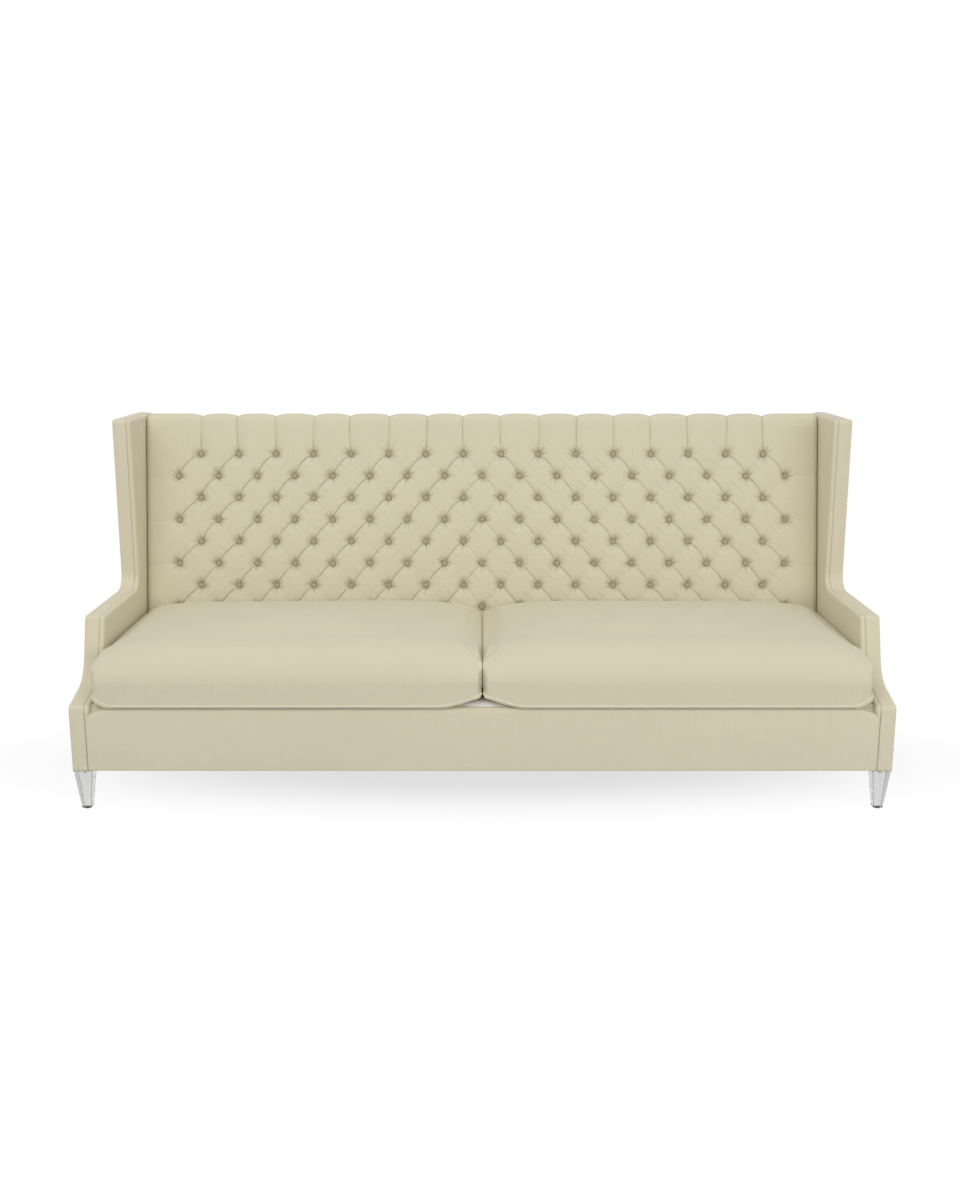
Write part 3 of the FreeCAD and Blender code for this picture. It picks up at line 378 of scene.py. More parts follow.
node_finishes = {
    beech: ["rail", "post", "stretcher", "blocks"],
    hessian_finish: ["hessian"],
    webbing_finish: ["webbing"],
    zinc: ["leg_plates", "plate_screws", "leg_studs"],
    felt_finish: ["glides"],
    welt_highlight_linen: ["twines"],
    wadding_finish: ["core", "deck_pad", "edge_roll"],
}
for finish, words in node_finishes.items():
    for name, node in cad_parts.items():
        if any(word in name for word in words):
            node.data.materials.clear()
            node.data.materials.append(finish)
print("finishes", len(bpy.data.materials))

# %% [markdown]
# ## Pieces, and lofts through sections
# Most upholstered parts keep one section along a line: a band along an edge, a cover along a rail, a cord
# along a seam. Modifiers could extrude and bend them. A loft through cross-sections says the same directly,
# and the section can change on the way.

# %% Pieces and lofts


def settle(piece, body, stands_for=(), slot="upholstery_fabric"):
    """Lets the piece ride on a body of the frame, and hides the CAD nodes it stands for."""
    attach(piece, body)
    if stands_for:
        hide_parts(*stands_for)


def add_piece(name, vertices, faces, finish, body="frame", stands_for=(), slot="upholstery_fabric"):
    """A smooth mesh in one finish."""
    mesh = bpy.data.meshes.new(name)
    mesh.from_pydata(np.asarray(vertices, float).tolist(), [], faces)
    shape = bmesh.new()
    shape.from_mesh(mesh)
    bmesh.ops.remove_doubles(shape, verts=shape.verts, dist=1e-5)
    bmesh.ops.recalc_face_normals(shape, faces=shape.faces)
    shape.to_mesh(mesh)
    shape.free()
    mesh.shade_smooth()
    mesh.materials.append(finish)
    piece = bpy.data.objects.new(name, mesh)
    bpy.context.collection.objects.link(piece)
    settle(piece, body, stands_for, slot)
    return piece


def loft(sections, closed=True, caps=True):
    """Vertices and faces of the skin through equal cross-sections."""
    sections = np.asarray(sections, float)
    count, points = sections.shape[:2]
    rows = np.arange(count - 1)[:, None] * points
    here = np.arange(points if closed else points - 1)[None, :]
    after = (here + 1) % points
    quads = np.stack([rows + here, rows + after, rows + points + after, rows + points + here], -1)
    faces = quads.reshape(-1, 4).tolist()
    if caps:
        faces.append(list(range(points)))
        faces.append(list(range((count - 1) * points, count * points)))
    return sections.reshape(-1, 3), faces


def join_shells(*shells):
    """Several (vertices, faces) pairs as one."""
    vertices, faces, offset = [], [], 0
    for points, sides in shells:
        vertices.append(np.asarray(points, float).reshape(-1, 3))
        faces += [[index + offset for index in side] for side in sides]
        offset += len(vertices[-1])
    return np.concatenate(vertices), faces


def run_of(path, closed):
    """The unit direction of a path at each of its points."""
    if closed:
        ahead, behind = np.roll(path, -1, 0), np.roll(path, 1, 0)
    else:
        ahead, behind = np.vstack([path[1:], path[-1:]]), np.vstack([path[:1], path[:-1]])
    run = ahead - behind
    return run / np.linalg.norm(run, axis=1)[:, None]


def cord(path, radius, sides=8):
    """A round cord along a closed 3-D path."""
    run = run_of(path, closed=True)
    hint = np.where(np.abs(run[:, 2:]) > 0.9, [[1.0, 0.0, 0.0]], [[0.0, 0.0, 1.0]])
    side = np.cross(run, hint)
    side /= np.linalg.norm(side, axis=1)[:, None]
    up = np.cross(side, run)
    angles = np.linspace(0, 2 * math.pi, sides, endpoint=False)[None, :, None]
    rings = path[:, None] + radius * (np.cos(angles) * side[:, None] + np.sin(angles) * up[:, None])
    return loft(np.concatenate([rings, rings[:1]]), caps=False)


print("a square loft has", len(loft(np.zeros((2, 4, 3)))[1]), "faces")

# %% [markdown]
# ## Outlines with round corners
# Upholstered outlines are straight runs between round corners. A curve object could draw them, but a script
# can't easily measure padding from it. So turn a list of corners with radii into a path of even steps.

# %% Outlines


def filled_in(start, end, step):
    """Evenly spaced points between two, leaving out both."""
    count = max(1, math.ceil(np.linalg.norm(end - start) / step))
    return [start + (end - start) * k / count for k in range(1, count)]


def corner_arc(before, here, after, radius, step):
    """The points of the arc that rounds one corner."""
    to_before = (before - here) / np.linalg.norm(before - here)
    to_after = (after - here) / np.linalg.norm(after - here)
    half_angle = math.acos(np.clip(to_before @ to_after, -1, 1)) / 2
    middle = (to_before + to_after) / np.linalg.norm(to_before + to_after)
    centre = here + middle * radius / math.sin(half_angle)
    first = here + to_before * radius / math.tan(half_angle) - centre
    last = here + to_after * radius / math.tan(half_angle) - centre
    start = math.atan2(first[1], first[0])
    turn = math.remainder(math.atan2(last[1], last[0]) - start, 2 * math.pi)
    count = max(3, math.ceil(abs(turn) * radius / step), math.ceil(abs(turn) / 0.2))
    angles = start + turn * np.linspace(0, 1, count + 1)
    return [centre + radius * np.array((math.cos(t), math.sin(t))) for t in angles]


def rounded_path(corners, step, closed=False):
    """Points along the straight runs and arcs through (a, b, radius) corners."""
    places = [np.array(corner[:2], float) for corner in corners]
    path = []
    for k, (_, _, radius) in enumerate(corners):
        knot = [places[k]]
        if radius > 0:
            knot = corner_arc(places[k - 1], places[k], places[(k + 1) % len(places)], radius, step)
        if path:
            path += filled_in(path[-1], knot[0], step)
        path += knot
    if closed:
        path += filled_in(path[-1], path[0], step)
    return np.array(path)


def path_normals(path, closed=False):
    """Unit normals to the left of the path's direction."""
    run = run_of(path, closed)
    return np.stack([-run[:, 1], run[:, 0]], 1)


def inset_corners(corners, distance):
    """A closed clockwise outline of (y, z, radius) corners with all its edges moved in."""
    lines = []
    for k, (a, b, _) in enumerate(corners):
        after = corners[(k + 1) % len(corners)]
        run = np.array((after[0] - a, after[1] - b))
        run /= np.linalg.norm(run)
        lines.append((np.array((a + run[1] * distance, b - run[0] * distance)), run))
    moved = []
    for k, (_, _, radius) in enumerate(corners):
        (p, u), (q, w) = lines[k - 1], lines[k]
        along = ((q - p)[0] * w[1] - (q - p)[1] * w[0]) / (u[0] * w[1] - u[1] * w[0])
        moved.append((*(p + u * along), radius))
    return moved


print("arm and wing path", len(rounded_path(ARM_AND_WING, 0.006)), "points")

# %% [markdown]
# ## Padded panels
# The inside and outside of an arm are flat shapes with a soft, rolled edge. A bevel would roll every edge
# alike. Here rings step in from the outline by a drawn section, triangles fill the face, and a little swell
# lifts its middle.

# %% Panels


def clearance(points, edge):
    """How far each point is from the nearest point of an edge."""
    return np.array([np.linalg.norm(edge - point, axis=1).min() for point in points])


def enclosed(points, edge):
    """Which points lie inside a closed outline: a line to the right crosses it an odd number of times."""
    a, b = points[:, :1], points[:, 1:]
    start, end = edge, np.roll(edge, -1, 0)
    spans = (start[:, 1] > b) != (end[:, 1] > b)
    rise = np.where(end[:, 1] == start[:, 1], 1.0, end[:, 1] - start[:, 1])
    crossing = start[:, 0] + (b - start[:, 1]) / rise * (end[:, 0] - start[:, 0])
    return (spans & (a < crossing)).sum(1) % 2 == 1


def filled(edge, step):
    """Triangles that fill a closed outline, with a grid of points inside it."""
    low, high = edge.min(0), edge.max(0)
    grid = np.meshgrid(np.arange(low[0], high[0], step), np.arange(low[1], high[1], step))
    grid = np.stack(grid, -1).reshape(-1, 2)
    grid = grid[enclosed(grid, edge) & (clearance(grid, edge) > step * 0.6)]
    places = [Vector(place) for place in np.vstack([edge, grid])]
    loop = [(k, (k + 1) % len(edge)) for k in range(len(edge))]
    flat, _, faces, *_ = delaunay_2d_cdt(places, loop, [], 0, 1e-7)
    flat = np.array([tuple(place) for place in flat])
    faces = np.array([list(face) for face in faces])
    faces = faces[enclosed(flat[faces].mean(1), edge)]
    return flat, faces.tolist()


def rolled_panel(outline, side, seam_x, section, swell, step=0.008):
    """A padded panel seen from the side, with a rolled edge along a closed (y, z) outline.

    section lists (out, inset) pairs in millimetres from the seam to the face; swell(y, z) lifts the face.
    """
    path = rounded_path(outline, step, closed=True)
    inward = -path_normals(path, closed=True)
    rings = []
    for out, inset in section:
        ring = path + inward * (inset * MM)
        rings.append(np.column_stack([np.full(len(ring), seam_x + out * MM), ring]))
    shells = [loft(rings, caps=False)]
    flat, faces = filled(rings[-1][:, 1:], step * 1.6)
    rise = swell(flat[:, 0], flat[:, 1]) * smooth(clearance(flat, rings[-1][:, 1:]), 0.0, 0.05)
    last_out = section[-1][0] * MM
    shells.append((np.column_stack([seam_x + last_out + np.sign(last_out) * rise, flat]), faces))
    flat, faces = filled(rings[0][:, 1:], 0.05)
    shells.append((np.column_stack([np.full(len(flat), rings[0][0, 0]), flat]), faces))
    vertices, faces = join_shells(*shells)
    vertices[:, 0] *= side
    return vertices, faces


print("a point in the arm is inside:", enclosed(np.array([[0.0, 0.3]]), rounded_path(ARM_AND_WING, 0.01)))

# %% [markdown]
# ## Where the buttons sit
# The back has eight rows of buttons. Rows of 17 and of 16 take turns, half a pitch apart, so that the pleats
# form diamonds. The buttons could be placed one by one, but the rows repeat, so count them out. Heights are
# measured up the slope of the back, from the deck.

# %% Button rows
BUTTON_PITCH = 0.1295
ROW_PITCH = 0.07558
FIRST_ROW = 0.143
ROWS = 8
LONG_ROW, SHORT_ROW = 17, 16
OUTER_SHIFT = 0.006


def button_row(row):
    """X of each button in a row; row 0 is the lowest, and the outer buttons of the long rows sit wider."""
    long_row = row % 2 == 0
    count = LONG_ROW if long_row else SHORT_ROW
    places = []
    for k in range(count):
        steps = k - (count - 1) / 2
        spread = max(0.0, abs(steps) - (count - 1) / 2 + 2) if long_row else 0.0
        places.append(math.copysign(abs(steps) * BUTTON_PITCH + spread * OUTER_SHIFT, steps))
    return places


def row_slope(row):
    return FIRST_ROW + row * ROW_PITCH


buttons = [(x, row_slope(row)) for row in range(ROWS) for x in button_row(row)]
luck = random.Random(7)
print("buttons", len(buttons))

# %% [markdown]
# ## The cloth before it is pulled
# A buttoned back starts as a smooth sheet over deep padding. It could be sculpted, or simulated with pins at
# the buttons, which is slow. Here the depth of every point is worked out instead. Lay the sheet out as
# columns across the settee and a run up over the top, all at no depth.

# %% Cloth of the back
PAD_HALF = 1.1595
PAD_DEEP = 0.060
FOOT_Z = 0.3237
TOP_FALL = 0.018
CLOTH_STEP = 0.0025 if FINE else 0.006
back_outline = [
    (back_line(FOOT_Z), FOOT_Z, 0.0),
    (back_line(BACK_Z), BACK_Z, 0.026),
    (0.4742, BACK_Z - TOP_FALL, 0.008),
    (0.4728, 1.079, 0.0),
    (back_line(1.078, PAD_DEEP) + 0.004, 1.078, 0.0),
    (back_line(FOOT_Z, PAD_DEEP), FOOT_Z, 0.0),
]
front_path = rounded_path(back_outline[:4], CLOTH_STEP)
hidden_path = rounded_path(back_outline[3:] + back_outline[:1], 0.03)[1:-1]
foot_y, foot_z = front_path[0]
foot_slope = (foot_y - SEAT_BACK_Y) * math.sin(RECLINE) + (foot_z - DECK_Z) * math.cos(RECLINE)
run = np.concatenate([[0], np.cumsum(np.linalg.norm(np.diff(front_path, axis=0), axis=1))]) + foot_slope
columns = np.linspace(-PAD_HALF, PAD_HALF, 2 * round(PAD_HALF / CLOTH_STEP) + 1)
pulled = np.zeros((len(columns), len(front_path)))
fold_gap = np.full(pulled.shape, 1.0)
fold_weight = np.zeros(pulled.shape)


def window(low, high):
    """The part of the cloth between two corners: its place in the arrays, and where its points lie."""
    i0, i1 = np.searchsorted(columns, (low[0], high[0]))
    j0, j1 = np.searchsorted(run, (low[1], high[1]))
    xs, ss = np.meshgrid(columns[i0:i1], run[j0:j1], indexing="ij")
    return np.s_[i0:i1, j0:j1], xs, ss


print("cloth of", pulled.shape, "points")

# %% [markdown]
# ## Pleats
# The spare cloth between two buttons folds into a pleat that hangs over on one side. The pleats lean away
# from the middle: on the left half those that rise to the right are sharp and the others faint, and the
# right half mirrors it. A depth that is steep on one side of a line and gentle on the other gives such a
# fold on any grid. Depths add up as cubes, so that the deeper of two folds wins without a step.

# %% Pleats
MARGIN = 0.045
STEEP_SIDE, GENTLE_SIDE = 0.0022, 0.0060
BROAD_WIDTH = 0.024


def nearest(curve, xs, ss):
    """Each point's distance to a curve, its side of it (the sign) and how far along it lies."""
    best = np.full(xs.shape, 9.0)
    signed = np.zeros(xs.shape)
    along = np.zeros(xs.shape)
    for k in range(len(curve) - 1):
        start, way = curve[k], curve[k + 1] - curve[k]
        t = np.clip(((xs - start[0]) * way[0] + (ss - start[1]) * way[1]) / (way @ way), 0, 1)
        dx, ds = xs - start[0] - t * way[0], ss - start[1] - t * way[1]
        gap = np.hypot(dx, ds)
        closer = gap < best
        best = np.where(closer, gap, best)
        signed = np.where(closer, way[0] * ds - way[1] * dx, signed)
        along = np.where(closer, (k + t) / (len(curve) - 1), along)
    return best, signed, along


def pleat(curve, sharp, broad, lean, weight):
    """Folds the cloth along a curve, and marks the line of the fold where the finish paints its shade."""
    part, xs, ss = window(curve.min(0) - MARGIN, curve.max(0) + MARGIN)
    gap, signed, along = nearest(curve, xs, ss)
    width = np.where(signed * lean > 0, STEEP_SIDE, GENTLE_SIDE)
    ends = 0.75 + 0.25 * np.abs(2 * along - 1)
    depth = ends * (sharp * np.exp(-gap / width) + broad * np.exp(-((gap / BROAD_WIDTH) ** 2)))
    pulled[part] += depth**3
    closer = gap < fold_gap[part]
    fold_gap[part] = np.where(closer, gap, fold_gap[part])
    fold_weight[part] = np.where(closer, weight * (0.55 + 0.45 * ends), fold_weight[part])


def bowed(start, end, bow):
    """A curve from start to end that bulges to one side by bow."""
    start, end = np.array(start), np.array(end)
    way = end - start
    across = np.array((-way[1], way[0])) / np.hypot(*way)
    peak = (start + end) / 2 + across * 2 * bow
    ts = np.linspace(0, 1, 9)[:, None]
    return (1 - ts) ** 2 * start + 2 * ts * (1 - ts) * peak + ts**2 * end


def diamond_pleat(row, x, target):
    """The pleat from a button down to one of the row below."""
    middle = (x + target) / 2
    outward = 1 if (target - x) * middle > 0 else -1
    share = 0.5 + 0.5 * math.copysign(min(1.0, abs(middle) / 0.08), outward)
    sharp = (0.0008 + 0.0052 * share) * luck.uniform(0.8, 1.15)
    broad = 0.0026 + 0.0020 * share
    lean = 1 if target < x else -1
    bow = lean * -(0.003 + 0.007 * row / ROWS) * share * luck.uniform(0.7, 1.2)
    curve = bowed((x, row_slope(row)), (target, row_slope(row - 1)), bow)
    pleat(curve, sharp, broad, -lean, 0.12 + 0.88 * share**1.5)


for row in range(ROWS):
    below = button_row(row - 1)
    for x in button_row(row):
        for target in below:
            if abs(target - x) <= 0.8 * BUTTON_PITCH:
                diamond_pleat(row, x, target)

# Upright pleats run from the top buttons over the rolled top, and a faint pull runs to each side
top_run = row_slope(ROWS - 1)
for x in button_row(ROWS - 1):
    wander = luck.uniform(-0.004, 0.004)
    curve = bowed((x, top_run), (x + wander, run[-12]), luck.uniform(-0.004, 0.004))
    pleat(curve, 0.0062 * luck.uniform(0.8, 1.1), 0.0066, 1, 0.9)
for row in range(0, ROWS, 2):
    for x in (button_row(row)[0], button_row(row)[-1]):
        edge = math.copysign(PAD_HALF, x)
        curve = bowed((x, row_slope(row)), (edge, row_slope(row) + luck.uniform(-0.004, 0.004)), 0.002)
        pleat(curve, 0.0006, 0.0022, 1, 0.16)
print("deepest pleat", round(float(np.cbrt(pulled).max()), 4))

# %% [markdown]
# ## Pits, and the bent cloth
# Each button pulls the cloth into a pit, with short wrinkles round it. A displace modifier could do this
# from a picture; moving each point along the normal of the smooth sheet needs none. Above the top row the
# padding forms upright flutes, and towards the wings it falls away.

# %% Bend the cloth
PIT_DEEP = 0.0205
PIT_FLAT = 0.0085
PIT_SPREAD = 0.0072
PIT_REACH = 0.075
CREST = 0.007
FLUTE_TOP = 0.783
EDGE_ROUND = 0.022


def pit(x, height):
    """Pulls in the pit around a button, with wrinkles that radiate from it."""
    rays = [(luck.uniform(0, 2 * math.pi), luck.uniform(0.5, 1.0)) for _ in range(5)]
    part, xs, ss = window((x - PIT_REACH, height - PIT_REACH), (x + PIT_REACH, height + PIT_REACH))
    away = np.hypot(xs - x, ss - height)
    angle = np.arctan2(ss - height, xs - x)
    depth = PIT_DEEP / (1 + (np.maximum(away - PIT_FLAT, 0) / PIT_SPREAD) ** 1.6)
    fade = np.exp(-(((away - 0.016) / 0.013) ** 2))
    for ray, strength in rays:
        off = np.abs(np.remainder(angle - ray + math.pi, 2 * math.pi) - math.pi) * away
        depth = depth + 0.0034 * strength * fade * np.exp(-((off / 0.0024) ** 2))
    pulled[part] += depth**3


for x, height in buttons:
    pit(x, height)

fade_top = 1 - smooth(run, run[-1] - 0.030, run[-1] - 0.004)
to_edge = np.clip((np.abs(columns) - (PAD_HALF - EDGE_ROUND)) / EDGE_ROUND, 0, 1)
edge_fall = 0.020 * (1 - np.sqrt(1 - 0.98 * to_edge**2))
crest = CREST * (1 - 0.8 * smooth(run, FLUTE_TOP - 0.02, FLUTE_TOP + 0.03))
lift = crest - np.cbrt(pulled) * fade_top - edge_fall[:, None] * (0.25 + 0.75 * fade_top)
lift[:, -6:] *= 0.2
front_normals = path_normals(front_path)
sections = []
for k, x in enumerate(columns):
    around = np.vstack([front_path + front_normals * lift[k][:, None], hidden_path])
    sections.append(np.column_stack([np.full(len(around), x), around]))
back = add_piece("buttoned_back", *loft(sections), fold_shaded_linen, stands_for=["tufted_back", "top_back_pad"])
print("buttoned back", len(back.data.polygons), "faces, deepest pull", round(float(np.cbrt(pulled).max()), 4))

# %% [markdown]
# ## Marks for the finish
# A mesh can carry named values on its points, and shaders can read them; here they place the painted shade of
# the folds and wrinkles. They could be painted by hand, but the script already knows every distance. A number
# for each button keeps their wrinkles different.

# %% Marks on the cloth
MARK_REACH = 0.08
offset = np.zeros((*pulled.shape, 3))
offset[..., 0] = 1.0
seeds = np.zeros(pulled.shape)
best = np.full(pulled.shape, 1.0)
for number, (x, height) in enumerate(buttons):
    part, xs, ss = window((x - MARK_REACH, height - MARK_REACH), (x + MARK_REACH, height + MARK_REACH))
    away = np.hypot(xs - x, ss - height)
    closer = away < best[part]
    best[part][closer] = away[closer]
    offset[part][closer] = np.stack([xs - x, ss - height, 0 * xs], -1)[closer]
    seeds[part][closer] = 7.3 * number


def mark(name, values, hidden_value):
    """Marks values on the front of the cloth, and one plain value on the part that is out of sight."""
    hidden_shape = (len(columns), len(hidden_path), *values.shape[2:])
    everywhere = np.concatenate([values, np.full(hidden_shape, hidden_value)], axis=1)
    kind, field = ("FLOAT_VECTOR", "vector") if values.ndim == 3 else ("FLOAT", "value")
    layer = back.data.attributes.new(name, kind, "POINT")
    layer.data.foreach_set(field, everywhere.astype(np.float32).ravel())


mark("fold_gap", fold_gap, 1.0)
mark("fold_weight", fold_weight, 0.0)
mark("from_button", offset, 1.0)
mark("button_seed", seeds, 0.0)
print("marked", int((fold_gap < 0.0019).sum()), "points on a fold line")

# %% [markdown]
# ## Covered buttons
# A covered button is a metal shell with a scrap of the same cloth gathered behind it. A scaled sphere would
# do from far away. Rings of points give the flatter crown and the tiny tucks at the rim. Turn and tilt each
# a little: a hand tied them.

# %% Buttons
BUTTON_RADIUS = 0.0092
BUTTON_HEIGHT = 0.0065
VALLEY = 0.0124
RINGS, SPOKES = (7, 28) if FINE else (4, 14)


def button_shape():
    """Points and faces of one button: a tip, rings down to the rim, and a smaller ring tucked under."""
    dome = [(0.0, 0.0, BUTTON_HEIGHT)]
    for ring in range(1, RINGS + 1):
        share = math.sin(math.pi / 2 * ring / RINGS)
        height = BUTTON_HEIGHT * (1 - 0.72 * share**2.4)
        for spoke in range(SPOKES):
            angle = 2 * math.pi * spoke / SPOKES
            radius = BUTTON_RADIUS * share * (1 + 0.035 * math.sin(9 * angle) * smooth(share, 0.6, 1.0))
            dome.append((radius * math.cos(angle), radius * math.sin(angle), height))
    dome = np.array(dome)
    dome = np.vstack([dome, dome[-SPOKES:] * (0.86, 0.86, 0.0)])
    faces = [[0, 1 + k, 1 + (k + 1) % SPOKES] for k in range(SPOKES)]
    for ring in range(RINGS):
        for k in range(SPOKES):
            a, b = 1 + ring * SPOKES + k, 1 + ring * SPOKES + (k + 1) % SPOKES
            faces.append([a, a + SPOKES, b + SPOKES, b])
    faces.append([1 + RINGS * SPOKES + k for k in range(SPOKES)])
    return dome, faces


dome, dome_faces = button_shape()
x_way = np.array((1.0, 0.0, 0.0))
up_way = np.array((0.0, math.sin(RECLINE), math.cos(RECLINE)))
out_way = np.array((0.0, -math.cos(RECLINE), math.sin(RECLINE)))
shells = []
for x, height in buttons:
    spin, tilt = luck.uniform(0, 2 * math.pi), luck.uniform(-0.08, 0.08)
    turn = np.array([[math.cos(spin), -math.sin(spin), 0], [math.sin(spin), math.cos(spin), 0], [0, 0, 1]])
    lean = np.array([[1, 0, 0], [0, math.cos(tilt), -math.sin(tilt)], [0, math.sin(tilt), math.cos(tilt)]])
    local = dome @ turn.T @ lean.T
    origin = np.array((x, SEAT_BACK_Y, DECK_Z)) + up_way * height - out_way * VALLEY
    placed = origin + local[:, :1] * x_way + local[:, 1:2] * up_way + local[:, 2:] * out_way
    shells.append((placed, dome_faces))
add_piece("covered_buttons", *join_shells(*shells), shaded_button_linen, stands_for=["tuft_buttons"])
print("buttons", len(shells), "of", len(dome_faces), "faces each")

# %% [markdown]
# ## Arms and wings
# Each end has three upholstered parts: a padded inside with a rolled edge, a narrow band along the front and
# top, and a flatter outside. One block with grooves would look flat at the seams. Three pieces that dip
# towards each other draw the thin dark line of a real seam.

# %% Outlines of arms and wings
PANEL_X = 1.214
PANEL_INSET = 0.012
inside_outline = [
    (FRONT_Y, 0.2965, 0.010),
    *ARM_AND_WING[1:-1],
    (0.4745, WING_Z, 0.012),
    (0.4712, 1.0775, 0.010),
    (back_line(1.0775, 0.0655), 1.0775, 0.010),
    (0.2646, 0.2965, 0.012),
]
below, behind = BASE_Z - PANEL_INSET, PANEL_INSET / math.cos(math.atan(RAKE))
side_outline = [(FRONT_Y, below, 0.0), *ARM_AND_WING[1:-1]]
side_outline += [(rear_line(WING_Z) + behind, WING_Z, 0.0), (rear_line(below) + behind, below, 0.0)]
moved_in = inset_corners(side_outline, PANEL_INSET)
side_outline = [(y, z, 0.004 if r < 0.02 else r + PANEL_INSET) for y, z, r in moved_in]

# Sections in millimetres: (out, inset) for the panels, (in from the side, proud of the edge) for the band
inside_roll = [(0.0, 12.0), (0.0, 4.0), (-0.3, 1.8), (-1.2, 0.5), (-3.0, 0.0), (-5.6, 0.0), (-8.0, 0.4)]
inside_roll += [(-10.4, 1.3), (-12.4, 2.7), (-13.9, 4.7), (-14.7, 7.0), (-15.0, 9.5)]
outside_roll = [(0.0, 4.5), (3.0, 1.2), (4.4, 0.9), (5.4, 1.5), (6.0, 3.4), (6.1, 5.5)]
band_section = [(0.0, -12.0), (0.0, -7.0), (0.0, -3.0), (0.5, -1.2), (2.0, -0.2), (5.0, 0.4), (12.0, 1.2)]
band_section += [(22.5, 1.6), (33.0, 1.2), (39.5, 0.4), (42.6, -0.4), (44.3, -1.6)]
band_section += [(45.0, -4.0), (45.0, -8.0), (45.0, -12.0)]
print("inside outline", len(inside_outline), "corners, side outline", len(side_outline))

# %% Arms and wings


def inside_swell(y, z):
    """The inner face swells a little, and lies flat where the back meets it."""
    return 0.0018 * smooth(back_line(z) - y, 0.0, 0.06)


def outside_swell(y, z):
    return 0.0015


def edge_band(side):
    """The band along the front and top of one arm and wing."""
    path = rounded_path(ARM_AND_WING, 0.006)
    section = []
    for point, normal in zip(path, path_normals(path)):
        section.append([(side * (HALF_WIDTH - a * MM), *(point + normal * b * MM)) for a, b in band_section])
    return loft(section)


for side, name in SIDES:
    inner = rolled_panel(inside_outline, side, SEAM_X, inside_roll, inside_swell)
    outer = rolled_panel(side_outline, side, PANEL_X, outside_roll, outside_swell, step=0.012)
    parts = (
        ("inside_arm", inner, "inside_pad"),
        ("edge_band", edge_band(side), "front_band"),
        ("outside_panel", outer, "side_panel"),
    )
    for part, shape, pad in parts:
        piece = add_piece(f"{name}_{part}", *shape, linen, stands_for=[f"{name}_{pad}"])
        print(piece.name, len(piece.data.polygons), "faces")

# %% [markdown]
# ## The front rail
# The cover of the front rail comes up over a soft edge and stops at the deck. Beside each arm its top edge
# dips, because the cloth is pulled into the corner. A bevelled box can't dip, so loft the cover from
# sections that know how near the arm they are. A short upright roll closes each corner.

# %% Front rail
COVER_HALF = 1.1720
CORNER_FROM = 1.098
CORNER_DEEP = 0.085
CORNER_FALL = 0.021
DECK_FRONT = -0.4655
FACE_FOOT = 0.1305
EDGE_DEEP, EDGE_HIGH = 0.0145, 0.0165


def at_corner(x):
    """0 along most of the rail, and 1 where the cover turns down beside the arms."""
    return float(smooth(abs(x), CORNER_FROM - 0.004, CORNER_FROM + 0.004))


def rail_profile(x):
    """The closed (y, z) section of the front cover at one place along it."""
    top = DECK_Z - CORNER_FALL * float(smooth(abs(x), CORNER_FROM, COVER_HALF))
    shelf = DECK_FRONT + CORNER_DEEP * at_corner(x)
    wave = 0.0004 * math.sin(9.0 * x + 0.6) + 0.0003 * math.sin(23.0 * x)
    profile = [(-0.436, 0.1256), (-0.4735, 0.1253), (-0.4785, 0.1262), (-0.4798, 0.1280)]
    for k in range(13):
        bulge = (0.0011 + wave) * math.sin(math.pi * k / 12)
        profile.append((FRONT_Y - bulge, FACE_FOOT + (top - EDGE_HIGH - FACE_FOOT) * k / 12))
    for k in range(1, 8):
        angle = math.pi / 2 * k / 7
        y, z = EDGE_DEEP * (1 - math.cos(angle)), EDGE_HIGH * math.sin(angle)
        profile.append((FRONT_Y + y, top - EDGE_HIGH + z))
    if shelf > DECK_FRONT + 0.02:
        profile += [(DECK_FRONT + 0.003, top + 0.0002), (DECK_FRONT + 0.014, DECK_Z + 0.0004)]
    else:
        profile += [(DECK_FRONT + 0.0005, top), (DECK_FRONT + 0.001, top)]
    profile += [(shelf + 0.0015, DECK_Z + 0.0004), (shelf + 0.0015, DECK_Z - 0.0040), (-0.4640, top - 0.0060)]
    profile += [(-0.4737, 0.1310), (-0.4700, 0.1292), (-0.436, 0.1290)]
    return profile


def upright_roll(side):
    """A soft roll with a round top, between the rail's cover and the arm."""
    section = []
    for z in np.concatenate([np.linspace(0.1258, 0.306, 30), np.linspace(0.308, 0.3135, 5)]):
        share = math.sqrt(1 - (max(0.0, z - 0.306) / 0.0077) ** 2)
        ring = []
        for angle in np.linspace(0, 2 * math.pi, 14, endpoint=False):
            y = -0.4755 + 0.0040 * (1 - share) + 0.0058 * share * math.sin(angle)
            ring.append((side * (1.1690 + 0.0054 * math.cos(angle)), y, z))
        section.append(ring)
    return loft(section)


end_columns = np.linspace(1.05, COVER_HALF, 24)
rail_columns = np.concatenate([-end_columns[::-1], np.linspace(-1.05, 1.05, 85)[1:-1], end_columns])
cover = loft([[(x, y, z) for y, z in rail_profile(x)] for x in rail_columns])
shells = [cover, *(upright_roll(side) for side, _ in SIDES)]
covered = ["front_rail_cover", "front_edge_roll"]
rail_cover = add_piece("front_rail_upholstery", *join_shells(*shells), linen, stands_for=covered)
print("rail cover", len(rail_cover.data.polygons), "faces")

# %% [markdown]
# ## Deck cloth, dust cloth and outside back
# Three flat cloths are stretched over the frame and tacked along their edges. A single plane would look like
# paper. A grid with a faint wave and a thickness looks like cloth, and its edges can follow what they are
# tacked to.

# %% Stretched cloths
DECK_DEEP = 0.729
DECK_CROWN = 0.013
BACK_SLOPE = math.hypot(WING_Z - BASE_Z, REAR_Y - rear_line(BASE_Z))


